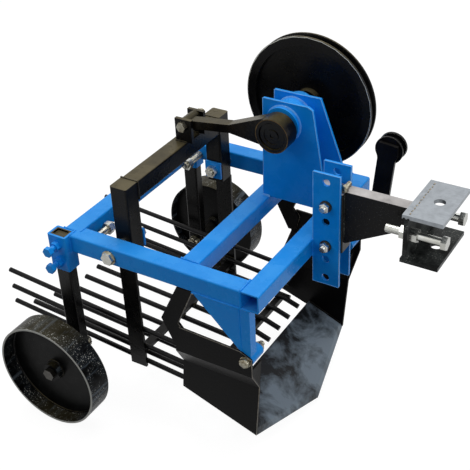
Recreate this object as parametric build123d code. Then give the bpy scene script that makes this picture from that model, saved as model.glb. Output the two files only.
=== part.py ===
from build123d import *
import os
from math import atan2, cos, degrees, hypot, radians, tan

# Single-row potato digger for a walking tractor, in millimetres.
# The sizes below count x forward from the rear face of the frame, y to the left from
# its middle and z up from the top of its tubes. save() then moves every piece so that
# the origin is the centre of the hitch pin hole in the upper bracket plate.

# Frame of square tube
TUBE = 40
TUBE_WALL = 3
TUBE_CORNER = 4
FRAME_HALF_WIDTH = 241
CROSS_MIDDLE_X = 273
CROSS_FRONT_X = 427
RAIL_IN = FRAME_HALF_WIDTH - TUBE
FRAME_FRONT = CROSS_FRONT_X + TUBE

# Sleeves at the rear corners and the posts clamped in them
POST_X = 5
POST_DEPTH = 36
POST_WIDTH = 25
POST_WALL = 3
POST_FOOT = 18
POST_CLEARANCE = 0.3
SLEEVE_WALL = 4.7
SLEEVE_HEIGHT = 82
SLEEVE_SETBACK = 20
SLEEVE_IN = FRAME_HALF_WIDTH - SLEEVE_SETBACK
SET_BOLT_Z = (-22, -62)
SET_BOLT_RADIUS = 6
SET_BOLT_REACH = 32
SET_BOLT_ACROSS = 19
SLEEVE_DEPTH = POST_DEPTH + 2 * (POST_CLEARANCE + SLEEVE_WALL)
SLEEVE_WIDTH = POST_WIDTH + 2 * (POST_CLEARANCE + SLEEVE_WALL)
SLEEVE_OUT = SLEEVE_IN + SLEEVE_WIDTH
SLEEVE_FRONT = POST_X + SLEEVE_DEPTH / 2
POST_IN = SLEEVE_IN + SLEEVE_WALL + POST_CLEARANCE
POST_OUT = POST_IN + POST_WIDTH

# Wheels of rolled flat bar
GROUND_Z = -421
WHEEL_RADIUS = 121
WHEEL_WIDTH = 56
WHEEL_GAP = 46
WHEEL_IN = POST_OUT + WHEEL_GAP
WHEEL_BAND = 4
WHEEL_DISC = 5
WHEEL_DISC_IN = WHEEL_IN + 19
HUB_IN = WHEEL_IN + 6
HUB_OUT = WHEEL_IN + 39
HUB_RADIUS = 20
AXLE_RADIUS = 8
SPACER_RADIUS = 13
END_PLAY = 0.5
AXLE_Z = GROUND_Z + WHEEL_RADIUS
POST_BOTTOM = AXLE_Z - POST_FOOT

# Fits and fasteners
RUNNING_FIT = 0.05
BOLT_RADIUS = 8
BOLT_HOLE_CLEARANCE = 0.2
HEAD_ACROSS = 24
HEAD_HEIGHT = 10
NUT_HEIGHT = 13
THREAD_END = 5
SEAT_GAP = 0.3

# Rocking portal that carries the rod grate
PIVOT_X = 126
PIVOT_Z = -22
PORTAL_TUBE = 40
PORTAL_WALL = 3
PORTAL_GAP = 10
PORTAL_TOP = 110
PORTAL_TUBE_FOOT = -52
PORTAL_BAR_FOOT = -338
PORTAL_BAR = 6
PIVOT_BUSH_RADIUS = 13
PIVOT_COLLAR_RADIUS = 15
LOCK_PLATE = 40
LOCK_PLATE_THICKNESS = 5
PORTAL_OUT = RAIL_IN - PORTAL_GAP
PORTAL_IN = PORTAL_OUT - PORTAL_TUBE
PORTAL_BAR_IN = PORTAL_OUT - PORTAL_BAR
PORTAL_REAR = PIVOT_X - PORTAL_TUBE / 2
PORTAL_FRONT = PIVOT_X + PORTAL_TUBE / 2

# Studs inside the rails, behind the portal
STUD_X = 55
STUD_Z = -26
STUD_LENGTH = 64
STUD_IN = RAIL_IN - STUD_LENGTH
STUD_NUT_IN = STUD_IN + 6

# Clevis on the portal
CLEVIS_X = 138
CLEVIS_PIN_Z = 147
CLEVIS_PLATE = 8
CLEVIS_HALF = 20
CLEVIS_TOP = 162
CLEVIS_NEAR_Y = 27
CLEVIS_GAP = 40
CLEVIS_HEAD_ACROSS = 19
CLEVIS_BOSS_PLAY = 0.5

# Crank, hub tube and belt pulley
CRANK_X = 350
CRANK_Z = 180
CRANK_THROW = 6
SHAFT_RADIUS = 17
SHAFT_IN = 62
SHAFT_OUT = 211
CRANK_PIN_RADIUS = 10
CRANK_PIN_IN = 38
CRANK_PIN_Z = CRANK_Z - CRANK_THROW
HUB_TUBE_RADIUS = 37
HUB_TUBE_WALL = 6
HUB_TUBE_IN = 65
HUB_TUBE_LENGTH = 86
BEARING_WIDTH = 16
PULLEY_RADIUS = 143
PULLEY_IN = 176
PULLEY_WIDTH = 25
PULLEY_WEB = 8
PULLEY_RIM = 20
PULLEY_HUB_RADIUS = 30
PULLEY_HUB_LENGTH = 38
GROOVE_DEPTH = 13
GROOVE_TOP = 17
GROOVE_BOTTOM = 9

# Upright plates that carry the hub tube
UPRIGHT_THICKNESS = 6
UPRIGHT_NEAR_Y = 75
UPRIGHT_FAR_Y = 119
UPRIGHT_NEAR_OUTLINE = ((298, 0), (453, 0), (434, 90), (414, 220), (404, 226), (303, 226))
UPRIGHT_FAR_OUTLINE = ((298, 0), (465, 0), (457, 92), (409, 226), (305, 226))

# Connecting rod
ROD_WIDTH = 24
ROD_IN = 36
ROD_HALF_HEIGHT = 9
ROD_TAPER_START = 0.5
SMALL_END_RADIUS = 15
BIG_END_RADIUS = 37
BIG_END_BORE = 29
BIG_END_IN = 24
BIG_END_CAP = 4
BIG_END_RECESS = 4
ROD_OUT = ROD_IN + ROD_WIDTH

# Grate of round bars
GRATE_ROD_RADIUS = 6
GRATE_EDGE = 30
GRATE_PITCH = 2 * (PORTAL_OUT - GRATE_EDGE) / 7
GRATE_TIP = (-165, -300)
GRATE_TIPS = (-148, -156, -168, -190)
GRATE_BEND = (295, -333.4)
GRATE_FRONT = (333, -346)
GRATE_BEND_RADIUS = 60
GRATE_REAR_BAR = 20
GRATE_REAR_BAR_TOP = -305
GRATE_FRONT_BAR = 16
GRATE_FRONT_BAR_X = 270
GRATE_FRONT_BAR_HEIGHT = 12
GRATE_FRONT_BAR_HALF = PORTAL_OUT - 21

# Side rods on the inner faces of the portal's bars: height at x = 0
SIDE_ROD_RADIUS = 5.5
SIDE_ROD_Y = PORTAL_BAR_IN - SIDE_ROD_RADIUS
SIDE_ROD_REAR = -230
SIDE_ROD_FRONT = 300
SIDE_ROD_SLOPE = 5
SIDE_ROD_HEIGHTS = (-229, -275, -317)

# Front legs, gussets and foot bushes
LEG_X = 420
LEG_DEPTH = 26
LEG_WIDTH = 20
LEG_FOOT_Z = -160
GUSSET_THICKNESS = 5
GUSSET_REAR = 320
GUSSET_FOOT_Z = -142
FOOT_BUSH_RADIUS = 14
FOOT_BUSH_LENGTH = 41
FOOT_BOLT_RADIUS = 6
FOOT_BOLT = (436, -162)

# Side walls of bent sheet, share and hangers
WALL_THICKNESS = 4
WALL_IN_HIGH = FRAME_HALF_WIDTH
WALL_STEP = 40
WALL_IN_LOW = WALL_IN_HIGH - WALL_STEP
WALL_BEND_HIGH = -198
WALL_BEND_LOW = -259
WALL_OUTLINE = (
    (285, -136),
    (424, -142),
    (449, -155),
    (449, -198),
    (440, -259),
    (428, -398),
    (251, -336),
    (258, -262),
    (272, -196),
)
WALL_WEB_FRONT = 439
WALL_WEB_REACH = 9
SHARE_REAR = 340
SHARE_SHOULDER = 428
SHARE_POINT = (477, -20)
SHARE_SLOPE = 23.6
SHARE_THICKNESS = 8
SHARE_EDGE = 7
HANGER_THICKNESS = 6
HANGER_OUTLINE = ((284, -40), (320, -40), (280, -130), (296, -150), (286, -188), (268, -188), (240, -130))

# Hitch plates, hitch bar and tractor bracket
HITCH_PLATE_THICKNESS = 6
HITCH_PLATE_DEPTH = 57
HITCH_PLATE_Z = (-100, 153)
HITCH_HOLE_X = FRAME_FRONT + 28
HITCH_HOLE_Z = (-84, -40, -8, 47, 83, 135)
HITCH_BOLT_Z = (-8, 83)
HITCH_SHANK_WIDTH = 40
HITCH_SHANK_WALL = 5
HITCH_SHANK_REAR = FRAME_FRONT + 3
HITCH_SHANK_FRONT = FRAME_FRONT + 60
HITCH_SHANK_Z = (-20, 112)
HITCH_BAR_WIDTH = 27
HITCH_BAR_TOP = 117
HITCH_WEB_FOOT = (FRAME_FRONT + 64, 2)
HITCH_WEB_FRONT = FRAME_FRONT + 165
HITCH_BAR_UNDER = 57
BRACKET_PLATE = 8
BRACKET_HALF_WIDTH = 68
BRACKET_REACH = 198
BRACKET_TOP_DEPTH = 77
BRACKET_BOTTOM_DEPTH = 73
BRACKET_TOP_Z = 138
BRACKET_BOTTOM_Z = 36
BRACKET_BACK_SETBACK = 4
PIN_SETBACK = 44
PIN_HOLE_RADIUS = 11
ADJUSTER_Y = 45
ADJUSTER_Z = 86
ADJUSTER_TAIL = 42
ADJUSTER_REACH = 76
BRACKET_REAR = FRAME_FRONT + BRACKET_REACH
BRACKET_BACK_X = BRACKET_REAR + BRACKET_BACK_SETBACK
ADJUSTER_REAR = BRACKET_BACK_X - ADJUSTER_TAIL
ADJUSTER_FRONT = BRACKET_BACK_X + ADJUSTER_REACH
PIN_X = BRACKET_REAR + PIN_SETBACK
PIN_Z = BRACKET_TOP_Z - BRACKET_PLATE / 2

# Belt tensioner in front of the left end of the frame
TENSIONER_PIVOT = (FRAME_FRONT + 53, -20)
TENSIONER_TOP = (FRAME_FRONT + 67, 114)
TENSIONER_LUG_THICKNESS = 8
TENSIONER_ARM_THICKNESS = 8
TENSIONER_ARM_HALF_WIDTH = 19
TENSIONER_HEAD_HALF_WIDTH = 23
TENSIONER_HEAD_LENGTH = 20
TENSIONER_HEAD_CORNER = 4
TENSIONER_HEAD_REACH = 17
TENSIONER_HEAD_TOP_HALF_WIDTH = 20
ROLLER_RADIUS = 30
ROLLER_CORE_RADIUS = 21
ROLLER_FLANGE = 4
ROLLER_PIN_RADIUS = 6
TENSIONER_ARM_OUT = PULLEY_IN - 2 * SEAT_GAP
TENSIONER_ARM_IN = TENSIONER_ARM_OUT - TENSIONER_ARM_THICKNESS
TENSIONER_LUG_IN = TENSIONER_ARM_IN - SEAT_GAP - TENSIONER_LUG_THICKNESS


def block(x, y, z):
    """Box between the low and high value of each axis, in either order."""
    size = Box(abs(x[1] - x[0]), abs(y[1] - y[0]), abs(z[1] - z[0]))
    return Pos(sum(x) / 2, sum(y) / 2, sum(z) / 2) * size


def round_y(x, z, radius, y):
    """Round bar along y between two values of y."""
    return Pos(x, sum(y) / 2, z) * Rot(90, 0, 0) * Cylinder(radius, abs(y[1] - y[0]))


def round_x(y, z, radius, x):
    """Round bar along x between two values of x."""
    return Pos(sum(x) / 2, y, z) * Rot(0, 90, 0) * Cylinder(radius, abs(x[1] - x[0]))


def hexagon_y(x, z, across, y):
    """Hexagon head or nut along y between two values of y."""
    head = extrude(RegularPolygon(across / 2, 6, major_radius=False), abs(y[1] - y[0]) / 2, both=True)
    return Pos(x, sum(y) / 2, z) * Rot(90, 0, 0) * head


def hexagon_x(y, z, across, x):
    """Hexagon head or nut along x between two values of x."""
    head = extrude(RegularPolygon(across / 2, 6, major_radius=False), abs(x[1] - x[0]) / 2, both=True)
    return Pos(sum(x) / 2, y, z) * Rot(0, 90, 0) * head


def outline_xz(points, y):
    """Plate cut to an outline of (x, z) points, between two values of y."""
    face = make_face(Polyline(*[(x, min(y), z) for x, z in points], close=True))
    return extrude(face, abs(y[1] - y[0]), dir=(0, 1, 0))


def rounded(body, axis):
    """Block with its four edges along an axis rounded like a rolled tube."""
    return fillet(body.edges().filter_by(axis), TUBE_CORNER)


def tube_x(x, y, z, wall):
    """Rectangular tube along x, open at both ends."""
    hollow = block(x, (min(y) + wall, max(y) - wall), (min(z) + wall, max(z) - wall))
    return rounded(block(x, y, z), Axis.X) - hollow


def tube_y(x, y, z, wall):
    """Rectangular tube along y, open at both ends."""
    hollow = block((min(x) + wall, max(x) - wall), y, (min(z) + wall, max(z) - wall))
    return rounded(block(x, y, z), Axis.Y) - hollow


def tube_z(x, y, z, wall):
    """Rectangular tube along z, open at both ends."""
    hollow = block((min(x) + wall, max(x) - wall), (min(y) + wall, max(y) - wall), z)
    return rounded(block(x, y, z), Axis.Z) - hollow


def save(name, *solids):
    """Move the solids of one node to the hitch pin's origin and write them."""
    shape = solids[0] if len(solids) == 1 else Compound(list(solids))
    export_step(shape.moved(Location((-PIN_X, 0, -PIN_Z))), f"parts/{name}.step")


def bolt_hole(x, z, y):
    """Clearance hole along y for the large bolts."""
    return round_y(x, z, BOLT_RADIUS + BOLT_HOLE_CLEARANCE, y)


def frame_cross(x, half_width):
    """Cross tube of the frame."""
    return tube_y((x, x + TUBE), (-half_width, half_width), (-TUBE, 0), TUBE_WALL)


def rail(side):
    """Side rail, coped round the rear cross tube, with the pivot bolt's hole."""
    y = (side * RAIL_IN, side * FRAME_HALF_WIDTH)
    body = tube_x((SLEEVE_FRONT, CROSS_FRONT_X), y, (-TUBE, 0), TUBE_WALL)
    body -= block((0, TUBE), (-SLEEVE_IN, SLEEVE_IN), (-TUBE, 0))
    return body - bolt_hole(PIVOT_X, PIVOT_Z, y)


def sleeve(side):
    """Sleeve of a wheel post with its two set bolts."""
    x = (POST_X - SLEEVE_DEPTH / 2, SLEEVE_FRONT)
    y = (side * SLEEVE_IN, side * SLEEVE_OUT)
    body = tube_z(x, y, (-SLEEVE_HEIGHT, 0), SLEEVE_WALL)
    bolt_in = side * (POST_OUT + SEAT_GAP)
    bolt_out = side * (SLEEVE_OUT + SET_BOLT_REACH)
    head_in = bolt_out - side * HEAD_HEIGHT
    for z in SET_BOLT_Z:
        body -= round_y(POST_X, z, SET_BOLT_RADIUS, (bolt_in - side * SEAT_GAP, side * SLEEVE_OUT))
        body += round_y(POST_X, z, SET_BOLT_RADIUS, (bolt_in, bolt_out))
        body += hexagon_y(POST_X, z, SET_BOLT_ACROSS, (side * SLEEVE_OUT, side * (SLEEVE_OUT + HEAD_HEIGHT)))
        body += hexagon_y(POST_X, z, SET_BOLT_ACROSS, (head_in, bolt_out))
    return body


def post(side):
    """Wheel post: a rectangular tube with the axle's hole in its foot."""
    x = (POST_X - POST_DEPTH / 2, POST_X + POST_DEPTH / 2)
    y = (side * POST_IN, side * POST_OUT)
    return tube_z(x, y, (POST_BOTTOM, 0), POST_WALL) - bolt_hole(POST_X, AXLE_Z, y)


def axle(side):
    """Axle bolt with the inner nut, the spacer and the outer head."""
    nut_in = side * (POST_IN - NUT_HEIGHT)
    head_in = side * (HUB_OUT + END_PLAY)
    head_out = side * (HUB_OUT + END_PLAY + HEAD_HEIGHT)
    body = round_y(POST_X, AXLE_Z, AXLE_RADIUS, (nut_in - side * THREAD_END, head_out))
    body += hexagon_y(POST_X, AXLE_Z, HEAD_ACROSS, (nut_in, side * POST_IN))
    body += round_y(POST_X, AXLE_Z, SPACER_RADIUS, (side * POST_OUT, side * (HUB_IN - END_PLAY)))
    return body + hexagon_y(POST_X, AXLE_Z, HEAD_ACROSS, (head_in, head_out))


def wheel(side):
    """Wheel: a rolled band, a recessed disc and a hub."""
    band_y = (side * WHEEL_IN, side * (WHEEL_IN + WHEEL_WIDTH))
    inside = WHEEL_RADIUS - WHEEL_BAND
    body = round_y(POST_X, AXLE_Z, WHEEL_RADIUS, band_y) - round_y(POST_X, AXLE_Z, inside, band_y)
    disc_y = (side * WHEEL_DISC_IN, side * (WHEEL_DISC_IN + WHEEL_DISC))
    body += round_y(POST_X, AXLE_Z, inside, disc_y)
    hub_y = (side * HUB_IN, side * HUB_OUT)
    body += round_y(POST_X, AXLE_Z, HUB_RADIUS, hub_y)
    return body - round_y(POST_X, AXLE_Z, AXLE_RADIUS + RUNNING_FIT, hub_y)


def lock_plate(side):
    """Square plate between the pivot's nut and the portal."""
    y = (side * (PORTAL_IN - SEAT_GAP - LOCK_PLATE_THICKNESS), side * (PORTAL_IN - SEAT_GAP))
    half = LOCK_PLATE / 2
    body = block((PIVOT_X - half, PIVOT_X + half), y, (PIVOT_Z - half, PIVOT_Z + half))
    return body - bolt_hole(PIVOT_X, PIVOT_Z, y)


def pivot_bolt(side):
    """Pivot bolt of the portal with its collar and nut."""
    nut_out = side * (PORTAL_IN - SEAT_GAP - LOCK_PLATE_THICKNESS)
    nut_in = nut_out - side * NUT_HEIGHT
    head_out = side * (FRAME_HALF_WIDTH + HEAD_HEIGHT)
    body = round_y(PIVOT_X, PIVOT_Z, BOLT_RADIUS, (nut_in - side * THREAD_END, head_out))
    body += hexagon_y(PIVOT_X, PIVOT_Z, HEAD_ACROSS, (side * FRAME_HALF_WIDTH, head_out))
    body += round_y(PIVOT_X, PIVOT_Z, PIVOT_COLLAR_RADIUS, (side * (PORTAL_OUT + SEAT_GAP), side * RAIL_IN))
    return body + hexagon_y(PIVOT_X, PIVOT_Z, HEAD_ACROSS, (nut_in, nut_out))


def stud(side):
    """Stud on the inner face of a rail, with its nut."""
    body = round_y(STUD_X, STUD_Z, BOLT_RADIUS, (side * STUD_IN, side * RAIL_IN))
    return body + hexagon_y(STUD_X, STUD_Z, HEAD_ACROSS, (side * STUD_NUT_IN, side * (STUD_NUT_IN + NUT_HEIGHT)))


def side_rod(side, height):
    """Side rod of the grate, level in y and dipping forward."""
    drop = tan(radians(SIDE_ROD_SLOPE))
    start = Vector(SIDE_ROD_REAR, side * SIDE_ROD_Y, height - SIDE_ROD_REAR * drop)
    end = Vector(SIDE_ROD_FRONT, side * SIDE_ROD_Y, height - SIDE_ROD_FRONT * drop)
    length = (end - start).length
    return Plane(origin=start, z_dir=end - start) * Pos(0, 0, length / 2) * Cylinder(SIDE_ROD_RADIUS, length)


def portal_leg(side):
    """Leg of the portal: a tube closed at its top, drilled for the pivot, and a flat bar below."""
    x = (PORTAL_REAR, PORTAL_FRONT)
    y = (side * PORTAL_IN, side * PORTAL_OUT)
    body = tube_z(x, y, (PORTAL_TUBE_FOOT, PORTAL_TOP), PORTAL_WALL)
    body += rounded(block(x, y, (PORTAL_TOP - PORTAL_WALL, PORTAL_TOP)), Axis.Z)
    bar_y = (side * PORTAL_BAR_IN, side * PORTAL_OUT)
    body += block(x, bar_y, (PORTAL_BAR_FOOT, PORTAL_TUBE_FOOT))
    body += round_y(PIVOT_X, PIVOT_Z, PIVOT_BUSH_RADIUS, y)
    return body - round_y(PIVOT_X, PIVOT_Z, BOLT_RADIUS + RUNNING_FIT, y)


def portal_beam():
    """Beam of the portal between its legs."""
    z = (PORTAL_TOP - PORTAL_TUBE, PORTAL_TOP)
    return tube_y((PORTAL_REAR, PORTAL_FRONT), (-PORTAL_IN, PORTAL_IN), z, PORTAL_WALL)


def clevis():
    """Two square plates on the beam."""
    plates = []
    for y in (CLEVIS_NEAR_Y, CLEVIS_NEAR_Y + CLEVIS_PLATE + CLEVIS_GAP):
        span = (y, y + CLEVIS_PLATE)
        plate = block((CLEVIS_X - CLEVIS_HALF, CLEVIS_X + CLEVIS_HALF), span, (PORTAL_TOP, CLEVIS_TOP))
        plates.append(plate - bolt_hole(CLEVIS_X, CLEVIS_PIN_Z, span))
    return plates


def clevis_pin():
    """Bolt that joins the connecting rod to the clevis."""
    far = CLEVIS_NEAR_Y + 2 * CLEVIS_PLATE + CLEVIS_GAP
    near = CLEVIS_NEAR_Y - HEAD_HEIGHT
    body = round_y(CLEVIS_X, CLEVIS_PIN_Z, BOLT_RADIUS, (near, far + NUT_HEIGHT + THREAD_END))
    body += hexagon_y(CLEVIS_X, CLEVIS_PIN_Z, CLEVIS_HEAD_ACROSS, (near, CLEVIS_NEAR_Y))
    return body + hexagon_y(CLEVIS_X, CLEVIS_PIN_Z, CLEVIS_HEAD_ACROSS, (far, far + NUT_HEIGHT))


def grate_rod_height(x):
    """Height of a floor rod's axis behind its bend."""
    slope = (GRATE_BEND[1] - GRATE_TIP[1]) / (GRATE_BEND[0] - GRATE_TIP[0])
    return GRATE_TIP[1] + slope * (x - GRATE_TIP[0])


def grate_rod(y, tip):
    """Floor rod from its rear tip, bent down in front to the share."""
    points = [(x, y, z) for x, z in ((tip, grate_rod_height(tip)), GRATE_BEND, GRATE_FRONT)]
    path = FilletPolyline(*points, radius=GRATE_BEND_RADIUS)
    return sweep(Plane(origin=path @ 0, z_dir=path % 0) * Circle(GRATE_ROD_RADIUS), path)


def grate_crosses():
    """Cross bars that carry the floor rods: on top at the legs, beneath in front."""
    slope = atan2(GRATE_TIP[1] - GRATE_BEND[1], GRATE_BEND[0] - GRATE_TIP[0])
    reach = GRATE_ROD_RADIUS / cos(slope)
    rear_x = (PIVOT_X - GRATE_REAR_BAR / 2, PIVOT_X + GRATE_REAR_BAR / 2)
    rear_z = (grate_rod_height(rear_x[0]) + reach, GRATE_REAR_BAR_TOP)
    front_x = (GRATE_FRONT_BAR_X, GRATE_FRONT_BAR_X + GRATE_FRONT_BAR)
    front_top = grate_rod_height(front_x[1]) - reach
    front_z = (front_top - GRATE_FRONT_BAR_HEIGHT, front_top)
    return [
        block(rear_x, (-PORTAL_BAR_IN, PORTAL_BAR_IN), rear_z),
        block(front_x, (-GRATE_FRONT_BAR_HALF, GRATE_FRONT_BAR_HALF), front_z),
    ]


def connecting_rod():
    """Forged rod: small end in the clevis, tapered web and the big end's housing."""
    big_end = (CRANK_X, CRANK_PIN_Z)
    run = (big_end[0] - CLEVIS_X, big_end[1] - CLEVIS_PIN_Z)
    length = hypot(*run)
    along = (run[0] / length, run[1] / length)
    shoulder = BIG_END_RADIUS * 0.88
    stations = (
        (0, ROD_HALF_HEIGHT),
        (length * ROD_TAPER_START, ROD_HALF_HEIGHT),
        (length - BIG_END_RADIUS * 0.45, shoulder),
        (length, shoulder),
    )
    upper = [(CLEVIS_X + along[0] * u - along[1] * h, CLEVIS_PIN_Z + along[1] * u + along[0] * h) for u, h in stations]
    lower = [(CLEVIS_X + along[0] * u + along[1] * h, CLEVIS_PIN_Z + along[1] * u - along[0] * h) for u, h in stations]
    body = outline_xz(upper + lower[::-1], (ROD_IN, ROD_OUT))
    boss_in = CLEVIS_NEAR_Y + CLEVIS_PLATE + CLEVIS_BOSS_PLAY
    boss = (boss_in, boss_in + CLEVIS_GAP - 2 * CLEVIS_BOSS_PLAY)
    body += round_y(CLEVIS_X, CLEVIS_PIN_Z, SMALL_END_RADIUS, boss)
    body += round_y(*big_end, BIG_END_RADIUS, (BIG_END_IN, ROD_OUT))
    body -= round_y(CLEVIS_X, CLEVIS_PIN_Z, BOLT_RADIUS + RUNNING_FIT, boss)
    body -= round_y(*big_end, BIG_END_BORE, (BIG_END_IN, BIG_END_IN + BIG_END_RECESS))
    return body - round_y(*big_end, BIG_END_BORE, (BIG_END_IN + BIG_END_RECESS + BIG_END_CAP, ROD_OUT))


def crankshaft():
    """Shaft through the hub tube with the eccentric pin turned on its end."""
    body = round_y(CRANK_X, CRANK_Z, SHAFT_RADIUS, (SHAFT_IN, SHAFT_OUT))
    return body + round_y(CRANK_X, CRANK_PIN_Z, CRANK_PIN_RADIUS, (CRANK_PIN_IN, SHAFT_IN))


def hub_tube():
    """Bearing tube with a bearing ring at each end."""
    ends = (HUB_TUBE_IN, HUB_TUBE_IN + HUB_TUBE_LENGTH)
    body = round_y(CRANK_X, CRANK_Z, HUB_TUBE_RADIUS, ends)
    middle = (ends[0] + BEARING_WIDTH, ends[1] - BEARING_WIDTH)
    body -= round_y(CRANK_X, CRANK_Z, HUB_TUBE_RADIUS - HUB_TUBE_WALL, middle)
    return body - round_y(CRANK_X, CRANK_Z, SHAFT_RADIUS + RUNNING_FIT, ends)


def upright(near_y, outline):
    """Upright plate with a slanted front edge and the hub tube's hole."""
    y = (near_y, near_y + UPRIGHT_THICKNESS)
    return outline_xz(outline, y) - round_y(CRANK_X, CRANK_Z, HUB_TUBE_RADIUS + SEAT_GAP / 2, y)


def pulley():
    """Belt pulley with one groove, turned about the crankshaft."""
    middle = PULLEY_IN + PULLEY_WIDTH / 2
    rim_in = PULLEY_RADIUS - PULLEY_RIM
    half = PULLEY_WIDTH / 2
    hub = PULLEY_HUB_LENGTH / 2
    web = PULLEY_WEB / 2
    groove = PULLEY_RADIUS - GROOVE_DEPTH
    upper = (
        (SHAFT_RADIUS + RUNNING_FIT, hub),
        (PULLEY_HUB_RADIUS, hub),
        (PULLEY_HUB_RADIUS, web),
        (rim_in, web),
        (rim_in, half),
        (PULLEY_RADIUS, half),
        (PULLEY_RADIUS, GROOVE_TOP / 2),
        (groove, GROOVE_BOTTOM / 2),
    )
    lower = [(r, -y) for r, y in upper[::-1]]
    profile = make_face(Polyline(*[(r, y, 0) for r, y in list(upper) + lower], close=True))
    return Pos(CRANK_X, middle, CRANK_Z) * revolve(profile, Axis.Y)


def leg(side):
    """Front leg with its gusset plate and the foot bush for the side wall."""
    y = (side * (FRAME_HALF_WIDTH - LEG_WIDTH), side * FRAME_HALF_WIDTH)
    gusset_y = (side * (FRAME_HALF_WIDTH - GUSSET_THICKNESS), side * FRAME_HALF_WIDTH)
    body = block((LEG_X, LEG_X + LEG_DEPTH), y, (LEG_FOOT_Z, -TUBE))
    body += outline_xz(((GUSSET_REAR, -TUBE), (LEG_X, -TUBE), (LEG_X, GUSSET_FOOT_Z)), gusset_y)
    bush_y = (side * (FRAME_HALF_WIDTH - FOOT_BUSH_LENGTH), side * FRAME_HALF_WIDTH)
    body += round_y(*FOOT_BOLT, FOOT_BUSH_RADIUS, bush_y)
    return body - round_y(*FOOT_BOLT, FOOT_BOLT_RADIUS + BOLT_HOLE_CLEARANCE, bush_y)


def sheet_section(points, thickness):
    """Outline of a bent sheet: its inner (y, z) line and the mitred outer line."""
    outer = []
    for i, (y, z) in enumerate(points):
        before = points[max(i - 1, 0)] if i else points[0]
        after = points[min(i + 1, len(points) - 1)]
        first = atan2(y - before[0], before[1] - z) if i else None
        last = atan2(after[0] - y, z - after[1]) if i < len(points) - 1 else None
        lean = (first + last) / 2 if None not in (first, last) else (first if last is None else last)
        spread = cos((first - last) / 2) if None not in (first, last) else 1
        outer.append((y + thickness * cos(lean) / spread, z + thickness * tan(lean) * cos(lean) / spread))
    return list(points) + outer[::-1]


def side_wall(side):
    """Side wall: a sheet with two bends, cut to its outline, with the bolt's hole and a web in front."""
    high = max(z for x, z in WALL_OUTLINE)
    low = min(z for x, z in WALL_OUTLINE)
    rear = min(x for x, z in WALL_OUTLINE)
    front = max(x for x, z in WALL_OUTLINE)
    line = ((WALL_IN_HIGH, high), (WALL_IN_HIGH, WALL_BEND_HIGH), (WALL_IN_LOW, WALL_BEND_LOW), (WALL_IN_LOW, low))
    section = [(rear, side * y, z) for y, z in sheet_section(line, WALL_THICKNESS)]
    sheet = extrude(make_face(Polyline(*section, close=True)), front - rear, dir=(1, 0, 0))
    reach = (side * WALL_IN_LOW, side * (WALL_IN_HIGH + WALL_THICKNESS))
    body = sheet & outline_xz(WALL_OUTLINE, reach)
    corners = (line[1], (WALL_IN_LOW - WALL_WEB_REACH, WALL_BEND_HIGH), line[2])
    web = make_face(Polyline(*[(WALL_WEB_FRONT - WALL_THICKNESS, side * y, z) for y, z in corners], close=True))
    body += extrude(web, WALL_THICKNESS, dir=(1, 0, 0))
    return body - round_y(*FOOT_BOLT, FOOT_BOLT_RADIUS + BOLT_HOLE_CLEARANCE, reach)


def share():
    """Pointed share: a sloping plate between the side walls, ground to a V in front."""
    slope = tan(radians(SHARE_SLOPE))
    point_x, point_y = SHARE_POINT
    rear_z = GROUND_Z + slope * (point_x - SHARE_REAR)
    rise = SHARE_THICKNESS / cos(radians(SHARE_SLOPE))
    profile = ((SHARE_REAR, rear_z), (point_x, GROUND_Z), (point_x, GROUND_Z + rise), (SHARE_REAR, rear_z + rise))
    slab = outline_xz(profile, (-WALL_IN_LOW, WALL_IN_LOW))
    plan = (
        (SHARE_REAR, -WALL_IN_LOW),
        (SHARE_SHOULDER, -WALL_IN_LOW),
        (point_x, point_y),
        (SHARE_SHOULDER, WALL_IN_LOW),
        (SHARE_REAR, WALL_IN_LOW),
    )
    face = make_face(Polyline(*[(x, y, GROUND_Z) for x, y in plan], close=True))
    body = slab & extrude(face, rear_z + rise - GROUND_Z, dir=(0, 0, 1))
    cutting = [edge for edge in body.edges() if edge.center().X > SHARE_SHOULDER and edge.length > SHARE_THICKNESS * 2]
    upper = sorted(cutting, key=lambda edge: edge.center().Z)[-2:]
    return chamfer(upper, SHARE_EDGE)


def hanger(side):
    """Flat hanger from the rail to the rear edge of the side wall."""
    y = (side * (WALL_IN_HIGH - HANGER_THICKNESS), side * WALL_IN_HIGH)
    return outline_xz(HANGER_OUTLINE, y)


def hitch_plate(side):
    """Drilled hitch plate on the front of the frame."""
    inside = HITCH_SHANK_WIDTH / 2 + SEAT_GAP
    y = (side * inside, side * (inside + HITCH_PLATE_THICKNESS))
    body = block((FRAME_FRONT, FRAME_FRONT + HITCH_PLATE_DEPTH), y, HITCH_PLATE_Z)
    for z in HITCH_HOLE_Z:
        body -= bolt_hole(HITCH_HOLE_X, z, y)
    return body


def hitch_bar():
    """Hitch bar: a capped tube between the plates, an arm in front of it and the web under the arm."""
    half = HITCH_SHANK_WIDTH / 2
    x = (HITCH_SHANK_REAR, HITCH_SHANK_FRONT)
    foot, top = HITCH_SHANK_Z
    body = tube_z(x, (-half, half), (foot, top), HITCH_SHANK_WALL)
    body += rounded(block(x, (-half, half), (top - HITCH_SHANK_WALL, top)), Axis.Z)
    for z in HITCH_BOLT_Z:
        body -= bolt_hole(HITCH_HOLE_X, z, (-half, half))
    outline = (
        (HITCH_SHANK_FRONT, HITCH_BAR_TOP),
        (BRACKET_BACK_X, HITCH_BAR_TOP),
        (BRACKET_BACK_X, HITCH_BAR_UNDER),
        (HITCH_WEB_FRONT, HITCH_BAR_UNDER),
        HITCH_WEB_FOOT,
        (HITCH_SHANK_FRONT, HITCH_WEB_FOOT[1]),
    )
    return body + outline_xz(outline, (-HITCH_BAR_WIDTH / 2, HITCH_BAR_WIDTH / 2))


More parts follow.
